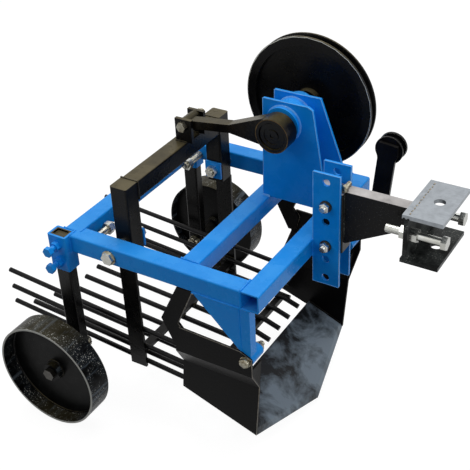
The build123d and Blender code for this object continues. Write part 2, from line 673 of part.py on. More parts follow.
def bracket_plate(depth, top):
    """Upper or lower plate of the tractor bracket, with the pin's hole."""
    z = (top - BRACKET_PLATE, top)
    body = block((BRACKET_REAR, BRACKET_REAR + depth), (-BRACKET_HALF_WIDTH, BRACKET_HALF_WIDTH), z)
    return body - Pos(PIN_X, 0, sum(z) / 2) * Cylinder(PIN_HOLE_RADIUS, BRACKET_PLATE)


def bracket_back():
    """Rear plate of the tractor bracket, drilled for the adjusting bolts."""
    x = (BRACKET_BACK_X, BRACKET_BACK_X + BRACKET_PLATE)
    z = (BRACKET_BOTTOM_Z + BRACKET_PLATE, BRACKET_TOP_Z - BRACKET_PLATE)
    body = block(x, (-BRACKET_HALF_WIDTH, BRACKET_HALF_WIDTH), z)
    for y in (-ADJUSTER_Y, ADJUSTER_Y):
        body -= round_x(y, ADJUSTER_Z, BOLT_RADIUS + BOLT_HOLE_CLEARANCE, x)
    return body


def adjusting_bolt(y):
    """Long bolt along x with a nut on each side of the bracket's rear plate."""
    front = BRACKET_BACK_X + BRACKET_PLATE
    body = round_x(y, ADJUSTER_Z, BOLT_RADIUS, (ADJUSTER_REAR, ADJUSTER_FRONT))
    body += hexagon_x(y, ADJUSTER_Z, HEAD_ACROSS, (BRACKET_BACK_X - NUT_HEIGHT, BRACKET_BACK_X))
    body += hexagon_x(y, ADJUSTER_Z, HEAD_ACROSS, (front, front + NUT_HEIGHT))
    return body + hexagon_x(y, ADJUSTER_Z, HEAD_ACROSS, (ADJUSTER_FRONT - HEAD_HEIGHT, ADJUSTER_FRONT))


def tensioner_lug():
    """Lug on the front of the frame with the tensioner's pivot bolt."""
    x, z = TENSIONER_PIVOT
    y = (TENSIONER_LUG_IN, TENSIONER_LUG_IN + TENSIONER_LUG_THICKNESS)
    nut = TENSIONER_ARM_OUT + SEAT_GAP
    body = block((FRAME_FRONT, x), y, (-TUBE, 0))
    body += round_y(x, z, TUBE / 2, y)
    body += round_y(x, z, BOLT_RADIUS, (y[0] - HEAD_HEIGHT, nut + HEAD_HEIGHT))
    body += hexagon_y(x, z, HEAD_ACROSS, (y[0] - HEAD_HEIGHT, y[0]))
    return body + hexagon_y(x, z, HEAD_ACROSS, (nut, nut + HEAD_HEIGHT))


def tensioner_arm():
    """Tensioner arm: a flat bar with a wider, bevelled head and the roller's pin."""
    low_x, low_z = TENSIONER_PIVOT
    top_x, top_z = TENSIONER_TOP
    length = hypot(top_x - low_x, top_z - low_z)
    up = ((top_x - low_x) / length, (top_z - low_z) / length)
    stations = (
        (0, TENSIONER_ARM_HALF_WIDTH),
        (length - TENSIONER_HEAD_LENGTH, TENSIONER_ARM_HALF_WIDTH),
        (length - TENSIONER_HEAD_CORNER, TENSIONER_HEAD_HALF_WIDTH),
        (length + TENSIONER_HEAD_REACH, TENSIONER_HEAD_TOP_HALF_WIDTH),
    )
    front = [(low_x + up[0] * u + up[1] * h, low_z + up[1] * u - up[0] * h) for u, h in stations]
    rear = [(low_x + up[0] * u - up[1] * h, low_z + up[1] * u + up[0] * h) for u, h in stations]
    y = (TENSIONER_ARM_IN, TENSIONER_ARM_OUT)
    body = outline_xz(front + rear[::-1], y) + round_y(low_x, low_z, TENSIONER_ARM_HALF_WIDTH, y)
    body -= round_y(low_x, low_z, BOLT_RADIUS + RUNNING_FIT, y)
    pin_out = PULLEY_IN + PULLEY_WIDTH + END_PLAY
    body += round_y(top_x, top_z, ROLLER_PIN_RADIUS, (y[0], pin_out + HEAD_HEIGHT))
    return body + hexagon_y(top_x, top_z, HEAD_ACROSS, (pin_out, pin_out + HEAD_HEIGHT))


def tensioner_roller():
    """Roller with two flanges, in line with the pulley."""
    x, z = TENSIONER_TOP
    y = (TENSIONER_ARM_OUT + END_PLAY, PULLEY_IN + PULLEY_WIDTH)
    body = round_y(x, z, ROLLER_CORE_RADIUS, y)
    body += round_y(x, z, ROLLER_RADIUS, (y[0], y[0] + ROLLER_FLANGE))
    body += round_y(x, z, ROLLER_RADIUS, (y[1] - ROLLER_FLANGE, y[1]))
    return body - round_y(x, z, ROLLER_PIN_RADIUS + RUNNING_FIT, y)


def save_frame():
    """Write the pieces of the welded frame and what is bolted to it."""
    save("cross_rear", frame_cross(0, SLEEVE_IN))
    save("cross_middle", frame_cross(CROSS_MIDDLE_X, RAIL_IN))
    save("cross_front", frame_cross(CROSS_FRONT_X, FRAME_HALF_WIDTH))
    save("upright_right", upright(UPRIGHT_NEAR_Y, UPRIGHT_NEAR_OUTLINE))
    save("upright_left", upright(UPRIGHT_FAR_Y, UPRIGHT_FAR_OUTLINE))
    save("hub_tube", hub_tube())
    save("share", share())
    save("hitch_bar", hitch_bar())
    save("bracket_top", bracket_plate(BRACKET_TOP_DEPTH, BRACKET_TOP_Z))
    save("bracket_bottom", bracket_plate(BRACKET_BOTTOM_DEPTH, BRACKET_BOTTOM_Z + BRACKET_PLATE))
    save("bracket_back", bracket_back())
    save("adjusting_bolts", adjusting_bolt(-ADJUSTER_Y), adjusting_bolt(ADJUSTER_Y))
    save("pivot_bolts", pivot_bolt(-1), pivot_bolt(1))
    save("lock_plates", lock_plate(-1), lock_plate(1))
    save("rail_studs", stud(-1), stud(1))
    save("tensioner_lug", tensioner_lug())


def save_pairs():
    """Write the pieces that the machine has on each side."""
    makers = (
        ("rail", rail),
        ("sleeve", sleeve),
        ("leg", leg),
        ("side_wall", side_wall),
        ("hanger", hanger),
        ("hitch_plate", hitch_plate),
        ("post", post),
        ("axle", axle),
        ("wheel", wheel),
        ("portal_leg", portal_leg),
    )
    for name, make in makers:
        for word, side in (("right", -1), ("left", 1)):
            save(f"{name}_{word}", make(side))


def save_moving():
    """Write the grate, the drive and the tensioner."""
    save("portal_beam", portal_beam())
    save("clevis", *clevis())
    save("clevis_pin", clevis_pin())
    save("grate_crosses", *grate_crosses())
    rods = [(GRATE_PITCH * (i + 0.5), tip) for i, tip in enumerate(GRATE_TIPS)]
    save("floor_rods", *[grate_rod(side * y, tip) for y, tip in rods for side in (-1, 1)])
    for word, side in (("right", -1), ("left", 1)):
        save(f"side_rods_{word}", *[side_rod(side, height) for height in SIDE_ROD_HEIGHTS])
    save("connecting_rod", connecting_rod())
    save("crankshaft", crankshaft())
    save("pulley", pulley())
    save("tensioner_arm", tensioner_arm())
    save("tensioner_roller", tensioner_roller())


os.makedirs("parts", exist_ok=True)
save_frame()
save_pairs()
save_moving()
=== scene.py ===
"""Potato digger for a walking tractor: its enamel, steel, fasteners, weld beads and studio."""

import logging
import math
from collections.abc import Iterator
from contextlib import contextmanager
from dataclasses import dataclass, field
from enum import Enum
from typing import ClassVar

import bpy
from mathutils import Matrix, Vector

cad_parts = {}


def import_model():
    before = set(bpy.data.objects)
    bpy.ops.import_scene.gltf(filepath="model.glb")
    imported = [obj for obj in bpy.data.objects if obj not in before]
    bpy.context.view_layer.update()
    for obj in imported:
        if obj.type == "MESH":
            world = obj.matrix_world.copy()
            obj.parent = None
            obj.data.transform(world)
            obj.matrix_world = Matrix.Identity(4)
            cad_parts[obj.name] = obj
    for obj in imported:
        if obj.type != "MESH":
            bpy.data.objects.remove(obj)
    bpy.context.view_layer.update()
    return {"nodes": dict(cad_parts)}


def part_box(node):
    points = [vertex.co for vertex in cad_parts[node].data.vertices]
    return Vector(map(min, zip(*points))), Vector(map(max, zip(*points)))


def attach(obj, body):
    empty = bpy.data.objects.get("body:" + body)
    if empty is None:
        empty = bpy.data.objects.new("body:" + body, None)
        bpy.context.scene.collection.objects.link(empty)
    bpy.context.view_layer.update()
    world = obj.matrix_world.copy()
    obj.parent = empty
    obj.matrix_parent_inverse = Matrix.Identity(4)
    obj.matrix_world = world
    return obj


Piece = bpy.types.Object
Socket = bpy.types.NodeSocket
Pair = tuple[float, float]
Triple = tuple[float, float, float]
Colour = tuple[float, float, float, float]
Point = Triple | Vector
Feed = Socket | float | Colour
Outline = tuple[Pair, ...]
# Finishes against the CAD nodes that they dress, where * stands for right and for left
Looks = dict["Finish", tuple[str, ...]]

LOG = logging.getLogger("potato_digger")
MM = 0.001
MM_PER_METRE = 1000
SIDES = {"right": -1, "left": 1}
WHITE = (1, 1, 1, 1)
PAINT_IOR = 1.5
# Below this angle between two faces the edge of a fastener is shaded round
SMOOTH_DEG = 35
# Nuts of the CAD model, and what their bolts stand out beyond them
NUT_HEIGHT = 13 * MM
THREAD_END = 5 * MM
# Modelled ridges stand a little proud of the CAD model's plain M16 shanks
M16_CREST = 8.4 * MM
# Thin rings on rims stay this much inside the radius of the rim that carries them
RIM_INSET = 0.1 * MM
# Chamfers as shares of a head's width across flats and of a thread's pitch
HEAD_CHAMFER = 0.045
CREST_CHAMFER = 0.36


class Lie(Enum):
    """Direction along which a turned piece lies."""

    X = (1.0, 0.0, 0.0)
    Y = (0.0, 1.0, 0.0)


def linear(hex_code: str) -> Colour:
    """Turn an sRGB hex value to a linear colour.

    Args:
        hex_code: Six hex digits, such as "1a6fd0".

    Returns:
        The linear red, green and blue with an alpha of one.
    """
    parts = [int(hex_code[i:i + 2], 16) / 255 for i in (0, 2, 4)]
    return (*[c / 12.92 if c <= 0.04045 else ((c + 0.055) / 1.055) ** 2.4 for c in parts], 1.0)


@dataclass(frozen=True)
class Nodes:
    """Node tree of a material or of the world, with one short call for each kind of node."""

    tree: bpy.types.NodeTree

    @classmethod
    def of(cls, owner: bpy.types.Material | bpy.types.World) -> "Nodes":
        """Take over the node tree of a material or of the world, and empty it.

        Args:
            owner: The new material or world.

        Returns:
            Its node tree.
        """
        owner.use_nodes = True
        owner.node_tree.nodes.clear()
        return cls(owner.node_tree)

    def add(self, kind: str, inputs: dict[str | int, Feed] | None = None, **settings: str) -> bpy.types.NodeOutputs:
        """Add one node with its settings, values and links.

        Args:
            kind: Blender's identifier of the node, without the leading ShaderNode.
            inputs: Socket name or number against a value, or against the socket that feeds it.
            **settings: Properties of the node.

        Returns:
            The node's outputs.
        """
        node = self.tree.nodes.new("ShaderNode" + kind)
        for name, value in settings.items():
            setattr(node, name, value)
        for key, value in (inputs or {}).items():
            if isinstance(value, Socket):
                self.tree.links.new(value, node.inputs[key])
            else:
                node.inputs[key].default_value = value
        return node.outputs

    def coordinates(self) -> tuple[Socket, bpy.types.NodeOutputs]:
        """Add the coordinates that stay with the object.

        Returns:
            The Object coordinates in metres, and x, y and z of the object's own normal.
        """
        outputs = self.add("TexCoord")
        return outputs["Object"], self.add("SeparateXYZ", {0: outputs["Normal"]})

    def noise(
        self, place: Socket, size_mm: float, detail: float, roughness: float = 0.5,
        distortion: float = 0.0, stretch: Triple | None = None,
    ) -> Socket:
        """Add noise whose features have a real size.

        Args:
            place: Coordinates in metres.
            size_mm: About the size of one feature in millimetres.
            detail: Number of finer layers.
            roughness: Weight of the finer layers.
            distortion: Curl of the features.
            stretch: Scale along x, y and z, below one where the features are long.

        Returns:
            The noise, from zero to one.
        """
        if stretch:
            place = self.add("Mapping", {"Vector": place, "Scale": stretch})[0]
        scale = MM_PER_METRE / size_mm
        values = {"Vector": place, "Scale": scale, "Detail": detail, "Roughness": roughness, "Distortion": distortion}
        return self.add("TexNoise", values)[0]

    def fade(self, value: Feed, limits: Pair, first: float, last: float) -> Socket:
        """Map a value that runs between two limits to another range, and clamp it there.

        Args:
            value: The value.
            limits: Where the fade begins and ends.
            first: Result at the beginning.
            last: Result at the end.

        Returns:
            The mapped value.
        """
        return self.add("MapRange", {0: value, 1: limits[0], 2: limits[1], 3: first, 4: last})[0]

    def maths(self, operation: str, *values: Feed) -> Socket:
        """Calculate with values.

        Args:
            operation: Blender's name of the operation.
            *values: What it works on.

        Returns:
            The result.
        """
        return self.add("Math", dict(enumerate(values)), operation=operation)[0]

    def mix(self, share: Feed, under: Feed, over: Feed) -> Socket:
        """Lay one colour over another.

        Args:
            share: How much of the upper colour shows.
            under: The lower colour.
            over: The upper colour.

        Returns:
            The mixed colour.
        """
        return self.add("Mix", {0: share, 6: under, 7: over}, data_type="RGBA")[2]

    def surface(self, finish: "Finish", colour: Socket, dull: Socket, height: Socket, levels: dict[str, float]) -> None:
        """Complete a material with one shader, its uneven gloss and its fine relief.

        Args:
            finish: Finish with the limits of the gloss and of the relief.
            colour: Base colour.
            dull: Noise of the gloss.
            height: Noise of the relief.
            levels: Sockets that are the same all over the surface.
        """
        rough = self.fade(dull, finish.dull_fade, finish.roughness, finish.roughness + finish.dull_rise)
        depth = finish.relief_depth_mm * MM
        relief = self.add("Bump", {"Height": height, "Strength": finish.relief_strength, "Distance": depth})[0]
        shader = self.add("BsdfPrincipled", {"Base Color": colour, "Roughness": rough, "Normal": relief, **levels})
        self.add("OutputMaterial", {"Surface": shader[0]})

    def background_share(self) -> Socket:
        """Tell whether a ray shows the background: one for the eye, for mirrors and for glass.

        Returns:
            The socket with one for those rays and zero for the others.
        """
        path = self.add("LightPath")
        mirrored = self.maths("MAXIMUM", path["Is Glossy Ray"], path["Is Transmission Ray"])
        return self.maths("MAXIMUM", path["Is Camera Ray"], mirrored)


@dataclass(frozen=True)
class Finish:
    """What every finish has: a name and a way to make its material."""

    name: str

    def material(self) -> bpy.types.Material:
        """Build the finish's material, or find it where it was built before.

        Returns:
            The material.
        """
        material = bpy.data.materials.get(self.name)
        if material is None:
            material = bpy.data.materials.new(self.name)
            self.lay(Nodes.of(material))
        return material

    def lay(self, nodes: Nodes) -> None:
        """Add the nodes of the finish.

        Args:
            nodes: Empty tree of its material.
        """
        raise NotImplementedError


@dataclass(frozen=True)
class GlossEnamel(Finish):
    """Gloss enamel brushed on mild steel: clear highlights, a slight orange peel, dust and a painted reflection on top.
    """

    paint: str
    thin: str
    # Colour laid on what faces up: dust, and a painted reflection of what lies above
    dust_and_reflection: str
    dust_and_reflection_share: float
    roughness: float = 0.2
    sheen_level: float = 0.1
    speck_share: float = 0.3
    patch_mm: float = 60.0
    patch_fade: Pair = (0.42, 0.72)
    patch_share: float = 0.7
    dust_and_reflection_fade: Pair = (0.6, 0.95)
    speck_mm: float = 2.2
    speck_fade: Pair = (0.64, 0.7)
    dull_fade: Pair = (0.3, 0.75)
    dull_rise: float = 0.16
    peel_mm: float = 5.0
    relief_strength: float = 0.35
    relief_depth_mm: float = 0.7

    def lay(self, nodes: Nodes) -> None:
        """Add thin patches, dust and a painted reflection on what faces up, specks and orange peel.

        Args:
            nodes: Empty tree of the enamel's material.
        """
        place, facing = nodes.coordinates()
        patches = nodes.noise(place, self.patch_mm, detail=5.0, roughness=0.6)
        thinned = nodes.fade(patches, self.patch_fade, 0.0, self.patch_share)
        tone = nodes.mix(thinned, linear(self.paint), linear(self.thin))
        # Painted reflection and dust: in patches, what faces up takes the dust colour
        upward = nodes.fade(facing[2], self.dust_and_reflection_fade, 0.0, self.dust_and_reflection_share)
        dust_and_reflection_tinted = nodes.mix(nodes.maths("MULTIPLY", upward, patches), tone, linear(self.dust_and_reflection))
        grains = nodes.noise(place, self.speck_mm, detail=3.0, roughness=0.65)
        colour = nodes.mix(nodes.fade(grains, self.speck_fade, 0.0, self.speck_share), dust_and_reflection_tinted, linear(self.dust_and_reflection))
        peel = nodes.noise(place, self.peel_mm, detail=3.0)
        nodes.surface(self, colour, patches, peel, {"IOR": PAINT_IOR, "Specular IOR Level": self.sheen_level})


@dataclass(frozen=True)
class WornPaint(Finish):
    """Black paint rubbed by soil: clouds of bare blue-grey steel and bright scratches show through it; on the share the
    leaned clouds also stand for a painted reflection.
    """

    paint: str
    bare: str
    cloud_mm: float
    bare_share: float
    # Leaning the clouds to one side puts the pale steel where it also stands for a painted reflection
    lean_to_right: float = 0.0
    lean_to_front: float = 0.0
    threshold: float = 0.4
    cloud_fade: float = 0.22
    scratch_mm: float = 3.0
    scratch_share: float = 0.5
    scratch_from: float = 0.6
    scratch_fade: float = 0.12
    stretch: Triple = (0.15, 1.0, 0.4)
    roughness: float = 0.26
    sheen_level: float = 0.1
    # Share of wear that is left on faces across the machine, such as a wheel's disc
    disc_share: float = 1.0
    disc_fade: Pair = (0.3, 0.8)
    # Olive on what faces up: dust, and a painted reflection
    dust_and_reflection: str = "4e472e"
    dust_and_reflection_share: float = 0.0
    dust_and_reflection_fade: Pair = (0.75, 0.98)
    speck: str = "d4d4cd"
    speck_mm: float = 1.8
    speck_share: float = 0.0
    speck_fade: Pair = (0.6, 0.63)
    cluster_fade: Pair = (0.45, 0.6)
    edge: str = "b4b5b0"
    # Distance in metres from the machine's middle beyond which the rim is bright: rubbed steel with a painted highlight
    edge_from: float = 10.0
    dull_fade: Pair = (0.3, 0.7)
    dull_rise: float = 0.2
    relief_strength: float = 0.2
    relief_depth_mm: float = 0.3

    def lay(self, nodes: Nodes) -> None:
        """Add clouds of bare steel, scratches, dust with a painted reflection on what faces up, clustered specks and a
        bright rim of rubbed steel with a painted highlight.

        Args:
            nodes: Empty tree of the paint's material.
        """
        place, facing = nodes.coordinates()
        axes = nodes.add("SeparateXYZ", {0: place})
        kept = nodes.fade(nodes.maths("ABSOLUTE", facing[1]), self.disc_fade, 1.0, self.disc_share)
        clouds = nodes.noise(place, self.cloud_mm, detail=7.0, roughness=0.62, distortion=0.4)
        right = nodes.maths("MULTIPLY_ADD", axes[1], -self.lean_to_right, clouds)
        front = nodes.maths("MULTIPLY_ADD", axes[0], self.lean_to_front, right)
        cloud = nodes.fade(front, (self.threshold, self.threshold + self.cloud_fade), 0.0, self.bare_share)
        scratches = nodes.noise(place, self.scratch_mm, detail=5.0, roughness=0.7, stretch=self.stretch)
        scratch_limits = (self.scratch_from, self.scratch_from + self.scratch_fade)
        scratch = nodes.fade(scratches, scratch_limits, 0.0, self.scratch_share)
        worn = nodes.maths("MULTIPLY", nodes.maths("MAXIMUM", cloud, scratch), kept)
        rubbed = nodes.mix(worn, linear(self.paint), linear(self.bare))
        # Painted reflection and dust: in clouds, what faces up takes the dust colour
        upward = nodes.fade(facing[2], self.dust_and_reflection_fade, 0.0, self.dust_and_reflection_share)
        dust_and_reflection_tinted = nodes.mix(nodes.maths("MULTIPLY", upward, clouds), rubbed, linear(self.dust_and_reflection))
        specks = nodes.noise(place, self.speck_mm, detail=3.0, roughness=0.7)
        cluster = nodes.fade(clouds, self.cluster_fade, 0.0, self.speck_share)
        flecks = nodes.maths("MULTIPLY", nodes.fade(specks, self.speck_fade, 0.0, 1.0), cluster)
        specked = nodes.mix(nodes.maths("MULTIPLY", flecks, kept), dust_and_reflection_tinted, linear(self.speck))
        # Bright outer rim: rubbed steel with a painted highlight
        rim = nodes.maths("GREATER_THAN", nodes.maths("ABSOLUTE", axes[1]), self.edge_from)
        colour = nodes.mix(rim, specked, linear(self.edge))
        nodes.surface(self, colour, scratches, scratches, {"IOR": PAINT_IOR, "Specular IOR Level": self.sheen_level})


@dataclass(frozen=True)
class BareSteel(Finish):
    """Rolled or plated steel: metallic, with faint stains, fine lines along one direction and, for the zinc, painted
    shade on what faces down.
    """

    metal: str
    stain: str
    stain_share: float
    roughness: float
    metallic: float = 1.0
    stain_mm: float = 24.0
    stain_fade: Pair = (0.42, 0.68)
    # Painted shade: colour, share and fade of the darkening on what faces down
    underside_shade: str = "1b1a17"
    underside_shade_share: float = 0.0
    underside_shade_fade: Pair = (0.5, -0.4)
    line_mm: float = 1.6
    line_stretch: Triple = (0.08, 1.0, 1.0)
    relief_strength: float = 0.15
    relief_depth_mm: float = 0.2
    dull_fade: Pair = (0.3, 0.7)
    dull_rise: float = 0.18

    def lay(self, nodes: Nodes) -> None:
        """Add stains, painted shade on what faces down, and rolling lines.

        Args:
            nodes: Empty tree of the steel's material.
        """
        place, facing = nodes.coordinates()
        stains = nodes.noise(place, self.stain_mm, detail=6.0, roughness=0.65)
        stained = nodes.fade(stains, self.stain_fade, 0.0, self.stain_share)
        tone = nodes.mix(stained, linear(self.metal), linear(self.stain))
        # Painted shade: what faces down is darkened
        beneath = nodes.fade(facing[2], self.underside_shade_fade, 0.0, self.underside_shade_share)
        colour = nodes.mix(beneath, tone, linear(self.underside_shade))
        lines = nodes.noise(place, self.line_mm, detail=3.0, stretch=self.line_stretch)
        nodes.surface(self, colour, lines, lines, {"Metallic": self.metallic})


@dataclass(frozen=True)
class StudioPaper(Finish):
    """White paper of the floor: white to the eye, with the machine's own soft shadow on it."""

    name: str = "studio_paper"
    paper: str = "6e6e6e"
    glow: float = 0.93

    def lay(self, nodes: Nodes) -> None:
        """Add matt paper and a glow that only the background's rays see.

        Args:
            nodes: Empty tree of the paper's material.
        """
        matt = nodes.add("BsdfDiffuse", {"Color": linear(self.paper)})[0]
        level = nodes.maths("MULTIPLY", nodes.background_share(), self.glow)
        glow = nodes.add("Emission", {"Color": WHITE, "Strength": level})[0]
        both = nodes.add("AddShader", {0: matt, 1: glow})[0]
        nodes.add("OutputMaterial", {"Surface": both})


# Blue enamel of the frame: bright sky blue, paler where it is thin, with a painted pale sky reflection on what faces up
# and pale specks
BLUE_ENAMEL = GlossEnamel("blue_gloss_enamel", "0a88e4", "2197ee", "74b6ec", 0.3)
# Black enamel of the moving steelwork: near black, olive on what faces up: dust with a painted reflection of the brown
# surroundings
BLACK_ENAMEL = GlossEnamel("black_gloss_enamel", "060607", "11100f", "776d50", 0.85)
# Black enamel of the round bars and the tensioner: thinner and a little greyer
BAR_ENAMEL = GlossEnamel("black_bar_enamel", "060608", "131315", "45423e", 0.3, roughness=0.24)
# Black enamel of the connecting rod: oily, with a painted olive brown highlight where it faces up
ROD_ENAMEL = GlossEnamel("oily_rod_enamel", "080706", "211a0e", "5e5430", 0.8, roughness=0.18, sheen_level=0.12)
# Black enamel of the hitch bar: pale greyish brown in patches on what faces up
BAR_PAINT = GlossEnamel(
    "hitch_bar_enamel", "070708", "171513", "c9c5c3", 1.5, roughness=0.24, sheen_level=0.12, speck_share=0.2
)
# Black enamel of the soil pan: dull, with faint brown smudges
PAN_ENAMEL = GlossEnamel("dull_pan_enamel", "050506", "0b0a09", "37332b", 0.5, roughness=0.3, sheen_level=0.05)
# Wheel paint: black, streaked blue-grey across the band, specked with bare steel, olive on what faces up as dust with a
# painted reflection, bright along the outer rim as rubbed steel with a painted highlight
WHEEL_PAINT = WornPaint(
    "scuffed_wheel_paint", "050505", "66707a", 30.0, 0.1, scratch_mm=16.0, scratch_share=0.6, scratch_from=0.54,
    stretch=(1.0, 0.1, 1.0), speck_mm=3.0, speck_share=1.0, sheen_level=0.05, disc_share=0.04, dust_and_reflection_share=0.75,
    edge_from=352.4 * MM,
)
# Share paint: black, polished to blue-grey steel in clouds leaning to the front, which also stand for a painted
# reflection
SHARE_PAINT = WornPaint(
    "worn_share_paint", "0a0c10", "76838f", 90.0, 0.9, lean_to_right=-0.2, lean_to_front=1.5, threshold=-0.04,
    cloud_fade=0.16, scratch_share=0.25, sheen_level=0.3,
)
# Bracket's rear and lower plates: black, spattered with bright weld droplets
BRACKET_PAINT = WornPaint(
    "spattered_bracket_paint", "0b0c0c", "4b504f", 45.0, 0.5, scratch_mm=8.0, scratch_share=0.35,
    speck_mm=3.2, speck_share=0.8, speck="9fa09a",
)
# Bracket's upper plate: rolled steel, mid grey with faint clouds
BRACKET_STEEL = BareSteel("rolled_bracket_steel", "8e9398", "6f7377", 0.5, 0.36, metallic=0.75, stain_mm=14.0)
# Zinc plate of the bolts: bright above, brown passivated stains, painted shade beneath
ZINC_PLATE = BareSteel("zinc_plated_steel", "b9b5a3", "5e4d30", 0.95, 0.2, stain_mm=7.0, underside_shade_share=0.85)
# Fresh zinc plate of the adjusting, hitch and pivot bolts: bright and smooth, with painted shade beneath
BRIGHT_ZINC = BareSteel("bright_zinc_steel", "d2d3ce", "9a9684", 0.4, 0.16, stain_mm=25.0, underside_shade_share=0.7)
# Scorched weld metal of the bracket's seam: tan
SEAM_STEEL = BareSteel("scorched_seam_steel", "a89a82", "75787b", 1.0, 0.5, metallic=0.4, stain_mm=5.0)
# Paler blue along the rounded edges of the blue plates: a painted highlight
BLUE_EDGE_HIGHLIGHT = GlossEnamel("painted_highlight_edge_enamel", "4fa4ee", "8fcaf6", "b4dcf8", 0.4, sheen_level=0.3)
# Edges of the black plates: brownish grey, rubbed steel with a painted highlight
BLACK_EDGE = BareSteel("rubbed_and_highlight_edge_steel", "6f6a60", "2c2820", 0.9, 0.35, metallic=0.6, stain_mm=12.0)
# Oiled edge of the big end: golden brown
OILED_EDGE = BareSteel("oiled_edge_steel", "5c4829", "241c10", 0.8, 0.3, metallic=0.8, stain_mm=16.0)
# Turned steel of the shaft end: plain light grey
TURNED_STEEL = BareSteel("turned_shaft_steel", "a8a8a6", "6a6660", 0.4, 0.3, stain_mm=12.0)
# Oiled steel of the axles and spring washers: dark
AXLE_STEEL = BareSteel("oiled_axle_steel", "3c3a36", "16150f", 0.7, 0.3, metallic=0.8, stain_mm=9.0)
# Thin pale rings on turned rims: rubbed steel with a painted highlight and a clear glint
RIM_STEEL = BareSteel("rubbed_and_highlight_rim_steel", "b9bab4", "77766e", 0.5, 0.25, stain_mm=14.0)


def middle_of(name: str) -> Vector:
    """Find the middle of a CAD node.

    Args:
        name: Name of the node.

    Returns:
        The middle of its box.
    """
    low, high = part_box(name)
    return (low + high) / 2


def faces(name: str, side: int) -> Pair:
    """Find where a CAD node begins and ends across the machine.

    Args:
        name: Name of the node.
        side: -1 on the machine's right, 1 on its left.

    Returns:
        The y of its face towards the middle and of its face away from it.
    """
    low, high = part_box(name)
    return (low.y, high.y) if side > 0 else (high.y, low.y)


def deselect_all() -> None:
    """Leave nothing selected."""
    bpy.ops.object.select_all(action="DESELECT")


@contextmanager
def whole_mesh() -> Iterator[None]:
    """Edit the active object with all of its mesh selected.

    Yields:
        Nothing, in edit mode.
    """
    bpy.ops.object.mode_set(mode="EDIT")
    bpy.ops.mesh.select_all(action="SELECT")
    yield
    bpy.ops.object.mode_set(mode="OBJECT")


def turned_to(direction: Point) -> Triple:
    """Find the rotation that points a primitive's own z along a direction.

    Args:
        direction: Where its z shall point.

    Returns:
        The rotation as Euler angles.
    """
    return tuple(Vector(direction).to_track_quat("Z", "Y").to_euler())


def settle() -> Piece:
    """Put the active object's place and turn into its mesh.

    Returns:
        The active object, at the origin.
    """
    bpy.ops.object.transform_apply(location=True, rotation=True, scale=True)
    return bpy.context.object


def bevel_all(offset: float, segments: int) -> None:
    """Bevel all edges of the active object.

    Args:
        offset: Width of the bevel in metres.
        segments: Number of facets across it.
    """
    with whole_mesh():
        bpy.ops.mesh.bevel(offset=offset, segments=segments, affect="EDGES")


def repeat(pitch: float, count: int) -> None:
    """Repeat the active object along its own z.

    Args:
        pitch: Distance from one to the next.
        count: Number of them, at least one.
    """
    row = bpy.context.object.modifiers.new("row", "ARRAY")
    row.use_relative_offset = False
    row.use_constant_offset = True
    row.constant_offset_displace = (0, 0, pitch)
    row.count = max(1, count)
    bpy.ops.object.modifier_apply(modifier="row")


def join(pieces: list[Piece], name: str) -> Piece:
    """Join pieces into one mesh at the origin, with its normals outward.

    Args:
        pieces: Objects to join.
        name: Name of the joined object.

    Returns:
        The joined object.
    """
    deselect_all()
    for piece in pieces:
        piece.select_set(True)
    bpy.context.view_layer.objects.active = pieces[0]
    if len(pieces) > 1:
        bpy.ops.object.join()
    whole = bpy.context.object
    whole.name = whole.data.name = name
    with whole_mesh():
        bpy.ops.mesh.normals_make_consistent(inside=False)
    return whole


def hexagon(place: Point, across: float, height: float) -> Piece:
    """Model a hexagon head or nut with chamfered corners, on an axis across the machine.

    Args:
        place: Middle of the hexagon.
        across: Width across flats in metres.
        height: Height in metres.

    Returns:
        The new object.
    """
    deselect_all()
    bpy.ops.mesh.primitive_cylinder_add(
        vertices=6, radius=across / math.sqrt(3), depth=height, location=place, rotation=turned_to(Lie.Y.value)
    )
    bevel_all(across * HEAD_CHAMFER, 2)
    return settle()


def washer(place: Point, radius: float, bore: float, height: float) -> Piece:
    """Model a flat washer on an axis across the machine.

    Args:
        place: Middle of the washer.
        radius: Outer radius in metres.
        bore: Radius of the hole in metres.
        height: Thickness in metres.

    Returns:
        The new object.
    """
    deselect_all()
    bpy.ops.mesh.primitive_circle_add(
        vertices=28, radius=radius, fill_type="NGON", location=place, rotation=turned_to(Lie.Y.value)
    )
    with whole_mesh():
        bpy.ops.mesh.inset(thickness=radius - bore)
        bpy.ops.mesh.delete(type="ONLY_FACE")
    thickness = bpy.context.object.modifiers.new("thickness", "SOLIDIFY")
    thickness.thickness = height
    thickness.offset = 0
    bpy.ops.object.modifier_apply(modifier="thickness")
    return settle()


def thread(start: Point, length: float, radius: float, pitch: float = 2.0 * MM, lie: Lie = Lie.Y) -> Piece:
    """Model the thread's ridges round a bolt.

    Args:
        start: Point on the axis where the thread begins.
        length: Length in metres, negative to run the other way.
        radius: Radius over the crests in metres.
        pitch: Distance from crest to crest.
        lie: Direction in which it runs.

    Returns:
        The new object.
    """
    deselect_all()
    way = Vector(lie.value) * (1 if length > 0 else -1)
    bpy.ops.mesh.primitive_cylinder_add(
        vertices=20, radius=radius, depth=pitch, end_fill_type="NGON",
        location=Vector(start) + way * pitch / 2, rotation=turned_to(way),
    )
    bevel_all(pitch * CREST_CHAMFER, 1)
    repeat(pitch, round(abs(length) / pitch))
    return settle()


def fasten(pieces: list[Piece], name: str, finish: Finish, body: str = "frame") -> None:
    """Join fastener pieces, dress them and fix them to a body.

    Args:
        pieces: Heads, washers and threads.
        name: Name of the joined piece.
        finish: Finish that it gets.
        body: Body that it rides on.
    """
    whole = join(pieces, name)
    whole.data.materials.append(finish.material())
    bpy.ops.object.shade_smooth_by_angle(angle=math.radians(SMOOTH_DEG))
    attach(whole, body)
    LOG.info("%s: %d pieces", name, len(pieces))


